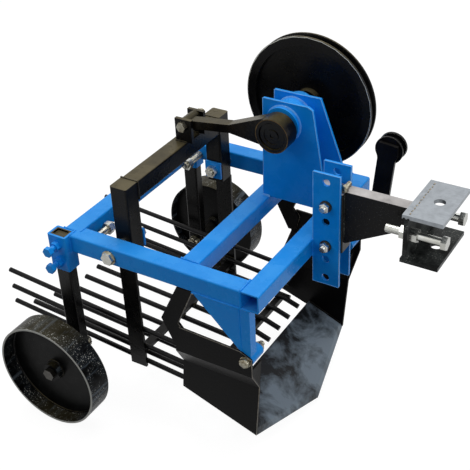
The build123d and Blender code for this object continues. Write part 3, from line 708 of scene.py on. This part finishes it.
@dataclass
class Welder:
    """Lays rippled weld beads and joins them into one piece for each body."""

    body: str
    finish: Finish
    throat: float = 3.4 * MM
    ripple: float = 3.0 * MM
    # How much each ripple narrows, and how long it is against the distance to the next
    taper: float = 0.68
    overlap: float = 1.3
    roughness: float = 0.35 * MM
    beads: list[Piece] = field(default_factory=list)

    def drop(self, place: Vector, way: Vector, throat: float | None) -> None:
        """Model one ripple of weld metal as a short cone frustum.

        Args:
            place: Middle of the ripple.
            way: Direction of the bead.
            throat: Radius of the ripple, or None for the usual one.
        """
        radius = throat or self.throat
        deselect_all()
        bpy.ops.mesh.primitive_cone_add(
            vertices=8, radius1=radius, radius2=radius * self.taper, depth=self.ripple * self.overlap,
            location=place, rotation=turned_to(way),
        )

    def line(self, *points: Point, throat: float | None = None) -> None:
        """Lay straight beads from point to point.

        Args:
            *points: Where a bead begins or ends.
            throat: Radius of the bead, or None for the usual one.
        """
        for start, end in zip(points, points[1:]):
            run = Vector(end) - Vector(start)
            self.drop(Vector(start) + run.normalized() * self.ripple / 2, run, throat)
            repeat(self.ripple, int(run.length / self.ripple))
            self.beads.append(settle())

    def ring(self, centre: Point, radius: float, throat: float | None = None) -> None:
        """Lay a bead round a bar or tube that lies across the machine.

        Args:
            centre: Centre of the ring.
            radius: Radius of the ring.
            throat: Radius of the bead, or None for the usual one.
        """
        axis = Vector(Lie.Y.value)
        out = axis.orthogonal().normalized()
        count = max(6, round(2 * math.pi * radius / self.ripple))
        self.drop(Vector(centre) + out * radius, axis.cross(out), throat)
        settle()
        angle = 2 * math.pi * (count - 1) / count
        with whole_mesh():
            bpy.ops.mesh.spin(steps=count - 1, dupli=True, angle=angle, use_auto_merge=False, center=centre, axis=axis)
        self.beads.append(bpy.context.object)

    def finish_beads(self, name: str) -> Piece:
        """Join the beads, roughen them a little and fix them to their body.

        Args:
            name: Name of the joined piece.

        Returns:
            The piece.
        """
        whole = join(self.beads, name)
        with whole_mesh():
            bpy.ops.transform.vertex_random(offset=self.roughness, uniform=0.6, normal=0.0, seed=7)
        whole.data.materials.append(self.finish.material())
        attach(whole, self.body)
        LOG.info("%s: %d beads", name, len(self.beads))
        return whole


@dataclass
class EdgeLiner:
    """Runs thin rounded edges along the outlines of plates; their paler finishes carry a painted edge highlight."""

    radius: float = 0.75 * MM
    rounding: float = 0.3
    edges: list[Piece] = field(default_factory=list)

    def line(self, start: Vector, end: Vector) -> None:
        """Run one straight edge with rounded ends.

        Args:
            start: First point.
            end: Last point.
        """
        deselect_all()
        run = end - start
        bpy.ops.mesh.primitive_cylinder_add(
            vertices=8, radius=self.radius, depth=run.length, location=(start + end) / 2, rotation=turned_to(run)
        )
        bevel_all(self.radius * self.rounding, 1)
        self.edges.append(settle())

    def outline(self, points_mm: Outline, y_mm: float, closed: bool = False) -> None:
        """Run edges along a plate's outline.

        Args:
            points_mm: Its corners as x and z in the part's frame, in millimetres.
            y_mm: Where the face lies.
            closed: Whether the last corner joins the first.
        """
        corners = [Vector((x, y_mm, z)) * MM for x, z in points_mm]
        for start, end in zip(corners, corners[1:] + corners[:1] if closed else corners[1:]):
            self.line(start, end)


@dataclass
class SubAssembly:
    """What every sub-assembly has: CAD nodes and the finishes that dress them."""

    nodes: dict[str, Piece]
    looks: ClassVar[Looks] = {}

    def build(self) -> None:
        """Give the nodes their finishes; each sub-assembly then adds its own pieces."""
        for finish, names in self.looks.items():
            for name in [pattern.replace("*", word) for pattern in names for word in SIDES]:
                for slot in self.nodes[name].material_slots:
                    slot.material = finish.material()


@dataclass
class Frame(SubAssembly):
    """Blue welded frame with its sleeves, legs, uprights, hub tube and bolts."""

    looks: ClassVar[Looks] = {
        BLUE_ENAMEL: (
            "cross_rear", "cross_middle", "cross_front", "hub_tube", "lock_plates",
            "rail_*", "sleeve_*", "leg_*", "upright_*", "hitch_plate_*",
        ),
        BRIGHT_ZINC: ("pivot_bolts", "rail_studs"),
    }
    # Each bolt's x and z
    foot_bolt: Pair = (-273 * MM, -296 * MM)
    stud: Pair = (-654 * MM, -160 * MM)
    pivot: Pair = (-583 * MM, -156 * MM)
    # Radius, bore and height of the washers
    foot_washer: Triple = (12 * MM, 6 * MM, 2 * MM)
    pivot_washer: Triple = (16 * MM, 8 * MM, 2.4 * MM)
    foot_head_across: float = 19 * MM
    foot_head_height: float = 8 * MM
    # From the wall to the middle of the head, which is set a little into its washer
    foot_head_rise: float = 5.5 * MM
    foot_nut_height: float = 10 * MM
    # Length, radius and pitch of the foot bolts' free thread
    foot_thread: Triple = (8 * MM, 6 * MM, 1.75 * MM)
    wall_outer: float = 245 * MM
    bush_inner: float = 200 * MM
    stud_length: float = 64 * MM
    stud_tail: float = 6 * MM
    stud_thread: float = 44 * MM
    lock_plate: float = 5 * MM
    foot_height: float = 18 * MM
    leg_width: float = 26 * MM
    gusset_reach: float = 100 * MM
    # Outlines in x and z and the y of their faces, in millimetres
    near_upright: Outline = ((-411, -134), (-406, 92), (-305, 92), (-295, 86), (-275, -44), (-256, -134))
    near_upright_y: float = 75
    far_upright: Outline = ((-411, -134), (-404, 92), (-300, 92), (-252, -42), (-244, -134))
    far_upright_y: float = 119
    hitch_plate: Outline = ((-242, -234), (-185, -234), (-185, 19), (-242, 19))
    hitch_plate_y: Pair = (-26.3, 20.3)

    def build(self) -> None:
        """Dress the frame and add its beads, bolts, threads and edges."""
        super().build()
        self.weld()
        self.bolt_feet()
        self.thread_studs()
        self.line_edges()

    def weld(self) -> None:
        """Lay the weld beads of the frame."""
        welder = Welder("frame", BLUE_ENAMEL, throat=2.4 * MM)
        self.weld_crosses(welder)
        self.weld_corners(welder)
        welder.finish_beads("frame_welds")
        # The uprights' beads take the paler edge enamel: a painted highlight
        welder = Welder("frame", BLUE_EDGE_HIGHLIGHT)
        self.weld_uprights(welder)
        welder.finish_beads("upright_welds")

    def weld_crosses(self, welder: Welder) -> None:
        """Lay the beads between the cross tubes and the rails.

        Args:
            welder: Welder of the frame.
        """
        for word, side in SIDES.items():
            inner, outer = faces(f"rail_{word}", side)
            under, top = (corner.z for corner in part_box(f"rail_{word}"))
            low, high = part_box("cross_middle")
            welder.line((low.x, inner, top), (high.x, inner, top))
            for x in (low.x, high.x):
                welder.line((x, inner, under), (x, inner, top))
            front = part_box("cross_front")[0].x
            welder.line((front, inner, top), (front, outer, top))
            for y in (inner, outer):
                welder.line((front, y, under), (front, y, top))

    def weld_corners(self, welder: Welder) -> None:
        """Lay the beads of the sleeves, legs, gussets and hitch plates.

        Args:
            welder: Welder of the frame.
        """
        for word, side in SIDES.items():
            front, _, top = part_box(f"sleeve_{word}")[1]
            rear, fore = (corner.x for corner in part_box("cross_rear"))
            seam = faces("cross_rear", side)[1]
            inner, outer = faces(f"rail_{word}", side)
            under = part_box(f"rail_{word}")[0].z
            welder.line((rear, seam, top), (front, seam, top), (front, outer, top))
            welder.line((front, outer, under), (front, outer, top))
            welder.line((fore, inner, top), (fore, seam, top))
            welder.line((rear, seam, under), (rear, seam, top))
            low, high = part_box(f"leg_{word}")
            edge = faces(f"leg_{word}", side)[1]
            welder.line((low.x, edge, high.z), (high.x, edge, high.z))
            welder.line((low.x, edge, high.z), (low.x + self.gusset_reach, edge, high.z))
            seam = high.x - self.leg_width
            welder.line((seam, edge, low.z + self.foot_height), (seam, edge, high.z), throat=1.8 * MM)
        under, top = (corner.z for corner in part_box("cross_front"))
        for word, side in SIDES.items():
            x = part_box(f"hitch_plate_{word}")[0].x
            face = faces(f"hitch_plate_{word}", side)[1]
            welder.line((x, face, under), (x, face, top))

    def weld_uprights(self, welder: Welder) -> None:
        """Lay the beads of the upright plates and the hub tube.

        Args:
            welder: Welder of the frame.
        """
        hub_low, hub_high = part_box("hub_tube")
        hub = middle_of("hub_tube")
        for name in ("upright_right", "upright_left"):
            low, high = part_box(name)
            for y in (low.y, high.y):
                for cross in ("cross_middle", "cross_front"):
                    cross_low, cross_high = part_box(cross)
                    welder.line((max(low.x, cross_low.x), y, low.z), (min(high.x, cross_high.x), y, low.z))
                welder.ring((hub.x, y, hub.z), (hub_high.x - hub_low.x) / 2, throat=3.0 * MM)

    def bolt_feet(self) -> None:
        """Model the bolts that hold the side walls to the feet of the legs."""
        x, z = self.foot_bolt
        across, nut = self.foot_head_across, self.foot_nut_height
        length, *section = self.foot_thread
        pieces = []
        for side in SIDES.values():
            outer, inner = side * self.wall_outer, side * self.bush_inner
            pieces += [
                washer((x, outer + side * self.foot_washer[2] / 2, z), *self.foot_washer),
                hexagon((x, outer + side * self.foot_head_rise, z), across, self.foot_head_height),
                hexagon((x, inner - side * nut / 2, z), across, nut),
                thread((x, inner - side * nut, z), -side * length, *section),
            ]
        fasten(pieces, "foot_bolts", ZINC_PLATE)

    def thread_studs(self) -> None:
        """Model the threads of the studs, and the threads and washers of the pivot bolts."""
        x, z = self.stud
        pivot_x, pivot_z = self.pivot
        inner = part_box("rail_studs")[1].y - self.stud_length
        after_nut = inner + self.stud_tail + NUT_HEIGHT
        nut_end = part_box("lock_plates")[1].y - self.lock_plate - NUT_HEIGHT
        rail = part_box("rail_left")[1].y
        pieces = []
        for side in SIDES.values():
            pieces += [
                thread((x, side * inner, z), side * self.stud_tail, M16_CREST),
                thread((x, side * after_nut, z), side * self.stud_thread, M16_CREST),
                thread((pivot_x, side * nut_end, pivot_z), -side * THREAD_END, M16_CREST),
                washer((pivot_x, side * (rail + self.pivot_washer[2] / 2), pivot_z), *self.pivot_washer),
            ]
        fasten(pieces, "frame_threads", ZINC_PLATE)

    def line_edges(self) -> None:
        """Run the paler edges of the uprights and the hitch plates, a painted highlight."""
        liner = EdgeLiner()
        liner.outline(self.near_upright, self.near_upright_y)
        liner.outline(self.far_upright, self.far_upright_y)
        for y in self.hitch_plate_y:
            liner.outline(self.hitch_plate, y, closed=True)
        fasten(liner.edges, "frame_highlight_edges", BLUE_EDGE_HIGHLIGHT)


@dataclass
class Hitch(SubAssembly):
    """Hitch bar, tractor bracket and their bolts."""

    looks: ClassVar[Looks] = {
        BAR_PAINT: ("hitch_bar",),
        BRACKET_PAINT: ("bracket_back", "bracket_bottom"),
        BRACKET_STEEL: ("bracket_top",),
        BRIGHT_ZINC: ("adjusting_bolts",),
    }
    bolt_across: float = 19 * MM
    bolt_height: float = 9 * MM
    # From the plates to the middles of the heads and of the nuts
    bolt_rises: Pair = (7.1 * MM, 7 * MM)
    # Where the free thread begins, its length and its radius
    bolt_thread: Triple = (11.5 * MM, 6 * MM, 6.2 * MM)
    # From the plates' front edge back to the bolts
    bolt_back: float = 29 * MM
    bolt_heights: Pair = (-142 * MM, -51 * MM)
    # Radius, bore and height of a spring washer
    spring: Triple = (12.4 * MM, 8.2 * MM, 2.6 * MM)
    stay_place: Pair = (-184 * MM, -12 * MM)
    # Radius and pitch of threads
    stay_thread: Pair = (4.5 * MM, 1.5 * MM)
    adjuster_thread: Pair = (8.3 * MM, 1.5 * MM)
    # Width across flats and height of the stay bolt's head, and how deep its middle lies in the arm
    stay_head: Pair = (15 * MM, 8 * MM)
    stay_depth: float = 3 * MM
    arm_half: float = 13.5 * MM
    adjusters: Pair = (-45 * MM, 45 * MM)
    adjuster_z: float = -48 * MM
    # Where the bar's beads begin above the bracket, and where those at the plates begin and end below the bar's top
    bar_bead_rise: float = 13 * MM
    plate_bead: Pair = (110 * MM, 6 * MM)
    plate_bead_gap: float = 3 * MM
    seam_stitches: int = 12
    seam_pitch: float = 10.5 * MM

    def build(self) -> None:
        """Dress the hitch and add its bolts, threads and beads."""
        super().build()
        self.bolt_plates()
        self.thread_adjusters()
        self.weld()
        self.weld_top()

    def bolt_plates(self) -> None:
        """Model the two bolts of the hitch bar's plates, and the stay bolt on the bar."""
        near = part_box("hitch_plate_right")[0].y
        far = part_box("hitch_plate_left")[1].y
        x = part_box("hitch_plate_right")[1].x - self.bolt_back
        begin, length, radius = self.bolt_thread
        nuts, springs = [], []
        for z in self.bolt_heights:
            springs.append(washer((x, near - self.spring[2] / 2, z), *self.spring))
            nuts.append(hexagon((x, near - self.bolt_rises[0], z), self.bolt_across, self.bolt_height))
            nuts.append(thread((x, near - begin, z), -length, radius))
            springs.append(washer((x, far + self.spring[2] / 2, z), *self.spring))
            nuts.append(hexagon((x, far + self.bolt_rises[1], z), self.bolt_across, self.bolt_height))
        fasten(springs, "hitch_springs", AXLE_STEEL)
        fasten(nuts, "hitch_bolts", BRIGHT_ZINC)
        x, z = self.stay_place
        stay = [
            thread((x, -self.arm_half, z), 2 * self.arm_half, *self.stay_thread),
            hexagon((x, -self.arm_half + self.stay_depth, z), *self.stay_head),
        ]
        fasten(stay, "stay_bolt", ZINC_PLATE)

    def thread_adjusters(self) -> None:
        """Model the threads of the adjusting bolts behind the bracket's rear plate."""
        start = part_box("adjusting_bolts")[0].x
        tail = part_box("bracket_back")[0].x - NUT_HEIGHT - start
        pieces = [thread((start, y, self.adjuster_z), tail, *self.adjuster_thread, Lie.X) for y in self.adjusters]
        fasten(pieces, "adjuster_threads", BRIGHT_ZINC)

    def weld(self) -> None:
        """Lay the beads of the bracket and of the bar between the plates."""
        welder = Welder("frame", BRACKET_PAINT)
        low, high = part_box("bracket_back")
        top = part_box("hitch_bar")[1].z
        for y in (-self.arm_half, self.arm_half):
            welder.line((low.x, y, low.z + self.bar_bead_rise), (low.x, y, top))
        for z in (low.z, high.z):
            for x in (low.x, high.x):
                welder.line((x, low.y, z), (x, high.y, z), throat=2.6 * MM)
        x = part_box("hitch_plate_right")[1].x + self.plate_bead_gap
        begin, end = self.plate_bead
        for y in (-self.arm_half, self.arm_half):
            welder.line((x, y, top - begin), (x, y, top - end), throat=2.6 * MM)
        welder.finish_beads("bracket_welds")

    def weld_top(self) -> None:
        """Lay the spattered seam on the bracket's upper plate."""
        welder = Welder("frame", SEAM_STEEL, throat=1.6 * MM, ripple=2.4 * MM)
        low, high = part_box("bracket_top")
        x = middle_of("bracket_back").x + 4 * MM
        z = high.z - 0.3 * MM
        for i in range(self.seam_stitches):
            start = low.y + 6 * MM + i * self.seam_pitch
            across = (-1) ** i * 0.6 * MM
            welder.line((x + across, start, z), (x - across, start + 0.6 * self.seam_pitch, z))
        welder.finish_beads("bracket_seam")


@dataclass
class Grate(SubAssembly):
    """Rocking portal with its floor and side rods."""

    looks: ClassVar[Looks] = {
        BLACK_ENAMEL: ("portal_beam", "clevis", "portal_leg_*"),
        BAR_ENAMEL: ("grate_crosses", "floor_rods", "side_rods_*"),
        ZINC_PLATE: ("clevis_pin",),
    }
    rod_count: int = 8
    rod_radius: float = 6 * MM
    rod_bead: float = 7 * MM
    cross_width: float = 20 * MM
    cross_height: float = 9.4 * MM
    side_rod_radius: float = 5.5 * MM
    side_rod_heights: Triple = (-374 * MM, -420 * MM, -462 * MM)
    # How far a side rod rises from the portal's middle to its rear edge
    side_rod_rise: float = 1.7 * MM
    clevis_plate: float = 8 * MM
    bar_inner: float = 185 * MM
    tube_foot: float = -186 * MM

    def build(self) -> None:
        """Dress the grate and add its beads."""
        super().build()
        self.weld()

    def weld(self) -> None:
        """Lay the weld beads of the portal and of the rods."""
        welder = Welder("grate", BLACK_ENAMEL)
        self.weld_portal(welder)
        self.weld_rods(welder)
        welder.finish_beads("portal_welds")

    def weld_portal(self, welder: Welder) -> None:
        """Lay the beads of the beam, the clevis and the lower bars.

        Args:
            welder: Welder of the grate.
        """
        low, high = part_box("portal_beam")
        for y in (low.y, high.y):
            welder.line((low.x, y, high.z), (high.x, y, high.z), throat=2.4 * MM)
            for x in (low.x, high.x):
                welder.line((x, y, low.z), (x, y, high.z), throat=2.4 * MM)
        near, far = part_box("clevis")
        for y in (near.y, near.y + self.clevis_plate, far.y - self.clevis_plate, far.y):
            welder.line((near.x, y, high.z), (high.x, y, high.z), throat=2.6 * MM)
        for side in SIDES.values():
            y = side * self.bar_inner
            welder.line((low.x, y, self.tube_foot), (high.x, y, self.tube_foot), throat=2.6 * MM)

    def weld_rods(self, welder: Welder) -> None:
        """Lay the short beads that hold the rods on the cross bar and the lower bars.

        Args:
            welder: Welder of the grate.
        """
        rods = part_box("floor_rods")
        pitch = (rods[1].y - rods[0].y - 2 * self.rod_radius) / (self.rod_count - 1)
        low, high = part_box("grate_crosses")
        under = high.z - self.cross_height
        for i in range(self.rod_count):
            y = rods[0].y + self.rod_radius + i * pitch
            for x in (low.x, low.x + self.cross_width):
                welder.line((x, y - self.rod_bead, under), (x, y + self.rod_bead, under), throat=2.4 * MM)
        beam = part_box("portal_beam")
        for side in SIDES.values():
            y = side * (self.bar_inner - 2 * MM)
            for z in self.side_rod_heights:
                rear = (beam[0].x, y, z + self.side_rod_radius + self.side_rod_rise)
                front = (beam[1].x, y, z + self.side_rod_radius - self.side_rod_rise)
                welder.line(rear, front, throat=2.2 * MM)


@dataclass
class Drive(SubAssembly):
    """Connecting rod, crank and pulley."""

    looks: ClassVar[Looks] = {BLACK_ENAMEL: ("pulley",), ROD_ENAMEL: ("connecting_rod",), TURNED_STEEL: ("crankshaft",)}
    big_end_radius: float = 37 * MM
    recess: float = 4 * MM
    # Radius, bore and height of each ring and washer
    bearing_ring: Triple = (27 * MM, 19 * MM, 1.6 * MM)
    hub_ring: Triple = (13 * MM, 5 * MM, 2.4 * MM)
    end_washer: Triple = (21 * MM, 6 * MM, 3 * MM)
    # How far the two rings' middles stand out of the recess
    ring_rises: Pair = (0.7 * MM, 0.5 * MM)
    rim_width: float = 1.8 * MM
    end_head: Pair = (19 * MM, 8 * MM)
    # From the pulley's middle plane to its two rims
    rim_offset: float = 12.4 * MM

    def build(self) -> None:
        """Dress the drive and add its rings, rims and bolt."""
        super().build()
        self.cap_big_end()
        self.highlight_pulley_rims()
        self.bolt_pulley()

    def cap_big_end(self) -> None:
        """Model the rings in the big end's recess, and its rubbed rim."""
        low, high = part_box("connecting_rod")
        x, z = high.x - self.big_end_radius, high.z - self.big_end_radius
        face = low.y + self.recess
        pieces = [
            washer((x, face - self.ring_rises[0], z), *self.bearing_ring),
            washer((x, face - self.ring_rises[1], z), *self.hub_ring),
        ]
        fasten(pieces, "big_end_rings", ROD_ENAMEL, "connecting_rod")
        bore = self.big_end_radius - self.rim_width
        rim = washer((x, low.y + 0.2 * MM, z), self.big_end_radius - RIM_INSET, bore, 0.8 * MM)
        fasten([rim], "big_end_rim", OILED_EDGE, "connecting_rod")

    def highlight_pulley_rims(self) -> None:
        """Model the thin bright rings on the pulley's rims: rubbed steel with a painted highlight."""
        low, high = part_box("pulley")
        x, y, z = middle_of("pulley")
        radius = (high.z - low.z) / 2
        pieces = [
            washer((x, y + offset, z), radius - RIM_INSET, radius - 1.3 * MM, 0.8 * MM)
            for offset in (-self.rim_offset, self.rim_offset)
        ]
        fasten(pieces, "pulley_rim_highlights", RIM_STEEL, "crank")

    def bolt_pulley(self) -> None:
        """Model the bolt and washer that hold the pulley on the shaft's end."""
        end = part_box("crankshaft")[1].y
        axis = middle_of("hub_tube")
        pieces = [
            washer((axis.x, end + self.end_washer[2] / 2, axis.z), *self.end_washer),
            hexagon((axis.x, end + self.end_washer[2] + self.end_head[1] / 2, axis.z), *self.end_head),
        ]
        fasten(pieces, "pulley_bolt", ZINC_PLATE, "crank")


@dataclass
class SoilPan(SubAssembly):
    """Share, side walls and hangers."""

    looks: ClassVar[Looks] = {PAN_ENAMEL: ("side_wall_*", "hanger_*"), SHARE_PAINT: ("share",)}
    share_slope_deg: float = 23.6
    # Where the share's seam begins and ends, from its rear edge
    seam: Pair = (4 * MM, 86 * MM)
    hanger_width: float = 36 * MM
    # Outlines in x and z and the y of their faces, in millimetres
    wall_top: Outline = ((-424, -270), (-285, -276), (-260, -289), (-260, -332))
    wall_top_y: float = 245
    wall_foot: Outline = ((-269, -393), (-281, -532))
    wall_foot_y: float = 205
    hanger_front: Outline = ((-389, -174), (-429, -264), (-413, -284), (-423, -322))
    hanger_y: float = 241

    def build(self) -> None:
        """Dress the pan and add its beads and edges."""
        super().build()
        self.weld()
        self.line_edges()

    def weld(self) -> None:
        """Lay the beads between the share and the side walls, and those of the hangers."""
        welder = Welder("frame", PAN_ENAMEL, throat=2.6 * MM)
        low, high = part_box("share")
        rear, front = low.x + self.seam[0], low.x + self.seam[1]
        top = high.z - 1.0 * MM
        foot = top - (front - rear) * math.tan(math.radians(self.share_slope_deg))
        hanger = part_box("hanger_right")[1]
        for side in SIDES.values():
            y = side * (high.y - 1.5 * MM)
            welder.line((rear, y, top), (front, y, foot))
            y = side * (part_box("rail_left")[1].y - 6 * MM)
            welder.line((hanger.x - self.hanger_width, y, hanger.z), (hanger.x, y, hanger.z), throat=2.2 * MM)
        welder.finish_beads("share_welds")

    def line_edges(self) -> None:
        """Run the edges of the walls and hangers: rubbed steel with a painted highlight."""
        liner = EdgeLiner(radius=0.7 * MM)
        for side in SIDES.values():
            liner.outline(self.wall_top, side * self.wall_top_y)
            liner.outline(self.wall_foot, side * self.wall_foot_y)
            (x, z), (foot_x, foot_z) = self.wall_top[-1], self.wall_foot[0]
            bend = Vector((x, side * self.wall_top_y, z)) * MM
            liner.line(bend, Vector((foot_x, side * self.wall_foot_y, foot_z)) * MM)
            liner.outline(self.hanger_front, side * self.hanger_y)
        fasten(liner.edges, "pan_highlight_edges", BLACK_EDGE)


@dataclass
class Wheels(SubAssembly):
    """Wheels with their posts and axles."""

    looks: ClassVar[Looks] = {BLACK_ENAMEL: ("post_*",), AXLE_STEEL: ("axle_*",), WHEEL_PAINT: ("wheel_*",)}
    # Radius, bore and height of the washer, and width across flats and height of the nut
    axle_washer: Triple = (15 * MM, 8 * MM, 2.4 * MM)
    axle_nut: Pair = (24.6 * MM, 11 * MM)
    # From the post to the middle of the nut
    axle_nut_rise: float = 8 * MM
    post_wall: float = 3 * MM
    plug_height: float = 4 * MM
    plug_depth: float = 6 * MM
    # From the wheel's inner face to the disc's outer face
    disc_face: float = 24 * MM
    # Radii of the beads at the band and at the hub
    bead_radii: Pair = (115.5 * MM, 21 * MM)

    def build(self) -> None:
        """Dress the wheels and add their plugs, beads and nuts."""
        super().build()
        self.cap_posts()
        self.weld()
        self.thread_axles()

    def cap_posts(self) -> None:
        """Model the plugs that close the tops of the posts."""
        for word in SIDES:
            low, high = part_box(f"post_{word}")
            middle = middle_of(f"post_{word}")
            deselect_all()
            bpy.ops.mesh.primitive_cube_add(size=1, location=(middle.x, middle.y, high.z - self.plug_depth))
            plug = bpy.context.object
            walls = 2 * self.post_wall
            plug.scale = (high.x - low.x - walls, high.y - low.y - walls, self.plug_height)
            settle()
            bevel_all(1.0 * MM, 2)
            fasten([plug], f"post_plug_{word}", BLACK_ENAMEL, f"post_{word}")

    def weld(self) -> None:
        """Lay the beads between band, disc and hub of each wheel."""
        for word, side in SIDES.items():
            middle = middle_of(f"wheel_{word}")
            face = faces(f"wheel_{word}", side)[0] + side * self.disc_face
            welder = Welder(f"wheel_{word}", BLACK_ENAMEL)
            for radius in self.bead_radii:
                welder.ring((middle.x, face, middle.z), radius, throat=2.6 * MM)
            welder.finish_beads(f"wheel_welds_{word}")

    def thread_axles(self) -> None:
        """Model the zinc nut, washer and thread at each axle's inner end."""
        for word, side in SIDES.items():
            x, z = middle_of(f"post_{word}").x, middle_of(f"axle_{word}").z
            tip = faces(f"axle_{word}", side)[0]
            face = faces(f"post_{word}", side)[0]
            pieces = [
                thread((x, tip, z), side * THREAD_END, M16_CREST),
                washer((x, face - side * self.axle_washer[2] / 2, z), *self.axle_washer),
                hexagon((x, face - side * self.axle_nut_rise, z), *self.axle_nut),
            ]
            fasten(pieces, f"axle_nut_{word}", ZINC_PLATE, f"post_{word}")


@dataclass
class Tensioner(SubAssembly):
    """Belt tensioner's arm, roller and lug."""

    looks: ClassVar[Looks] = {BAR_ENAMEL: ("tensioner_arm", "tensioner_roller", "tensioner_lug")}

    def build(self) -> None:
        """Dress the tensioner and add its bright rings, rubbed steel with a painted highlight."""
        super().build()
        self.highlight_roller_rims()

    def highlight_roller_rims(self) -> None:
        """Model the thin bright rings on the roller's flanges: rubbed steel with a painted highlight."""
        low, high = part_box("tensioner_roller")
        middle = middle_of("tensioner_roller")
        radius = (high.z - low.z) / 2
        rings = [
            washer((middle.x, y, middle.z), radius - RIM_INSET, radius - 1.4 * MM, 0.6 * MM)
            for y in (low.y + 0.3 * MM, low.y + 4 * MM, high.y - 4 * MM)
        ]
        fasten(rings, "roller_rim_highlights", RIM_STEEL, "tensioner_roller")


@dataclass(frozen=True)
class Lamp:
    """One soft square area lamp: its place, its side in metres and its power in watts."""

    name: str
    place: Triple
    size: float
    power: float

    def hang(self, aim: Vector) -> None:
        """Add the lamp to the scene.

        Args:
            aim: Point that it faces.
        """
        data = bpy.data.lights.new(self.name, "AREA")
        data.energy = self.power
        data.size = self.size
        lamp = bpy.data.objects.new(self.name, data)
        bpy.context.scene.collection.objects.link(lamp)
        lamp.location = self.place
        lamp.rotation_euler = (aim - Vector(self.place)).to_track_quat("-Z", "Y").to_euler()


@dataclass(frozen=True)
class Studio:
    """Pale floor, soft lamps and the camera at the photograph's place."""

    camera_place: Triple = (0.4942, -1.4575, 0.9499)
    camera_aim: Triple = (-0.2919, -0.2305, -0.0193)
    camera_roll_deg: float = -2.93
    focal_mm: float = 75.5
    sensor_mm: float = 36.0
    clip: Pair = (0.05, 50)
    floor_size: float = 12
    # Just under the wheels at the posts' lower limit
    floor_z: float = -0.5675
    lamp_aim: Triple = (-0.4, 0, -0.2)
    lamps: tuple[Lamp, ...] = (
        Lamp("overhead", (-0.7, 0.7, 2.6), 2.4, 62),
        Lamp("near_left", (-1.9, -2.0, 1.5), 1.2, 12),
        Lamp("near_right", (1.8, -1.6, 1.2), 1.0, 8),
        Lamp("front", (1.5, 0.2, 0.45), 1.2, 10),
    )
    world_level: float = 0.28

    def build_floor(self) -> None:
        """Model the flat floor."""
        deselect_all()
        bpy.ops.mesh.primitive_plane_add(size=self.floor_size, location=(0, 0, self.floor_z))
        floor = settle()
        floor.name = "floor"
        floor.data.materials.append(StudioPaper().material())

    def build_camera(self) -> None:
        """Place the camera and turn it by its roll."""
        data = bpy.data.cameras.new("photo_camera")
        data.lens = self.focal_mm
        data.sensor_width = self.sensor_mm
        data.clip_start, data.clip_end = self.clip
        camera = bpy.data.objects.new("photo_camera", data)
        bpy.context.scene.collection.objects.link(camera)
        place = Vector(self.camera_place)
        look = (Vector(self.camera_aim) - place).to_track_quat("-Z", "Y").to_matrix().to_4x4()
        roll = Matrix.Rotation(math.radians(self.camera_roll_deg), 4, "Z")
        camera.matrix_world = Matrix.Translation(place) @ look @ roll
        bpy.context.scene.camera = camera

    def light(self) -> None:
        """Hang the lamps and set the world's level, white only where it is seen."""
        for lamp in self.lamps:
            lamp.hang(Vector(self.lamp_aim))
        world = bpy.data.worlds.new("studio_world")
        bpy.context.scene.world = world
        nodes = Nodes.of(world)
        soft = nodes.add("Background", {"Color": WHITE, "Strength": self.world_level})[0]
        white = nodes.add("Background", {"Color": WHITE, "Strength": 1.0})[0]
        mixed = nodes.add("MixShader", {0: nodes.background_share(), 1: soft, 2: white})[0]
        nodes.add("OutputWorld", {"Surface": mixed})
        bpy.context.scene.view_settings.view_transform = "Standard"

    def build(self) -> None:
        """Build the floor, the camera and the lamps."""
        self.build_floor()
        self.build_camera()
        self.light()


def main() -> None:
    """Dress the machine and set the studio."""
    logging.basicConfig(level=logging.INFO, format="%(name)s: %(message)s")
    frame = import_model()
    for sub_assembly in (Frame, Hitch, Grate, Drive, SoilPan, Wheels, Tensioner):
        sub_assembly(frame["nodes"]).build()
    Studio().build()


if __name__ == "__main__":
    main()
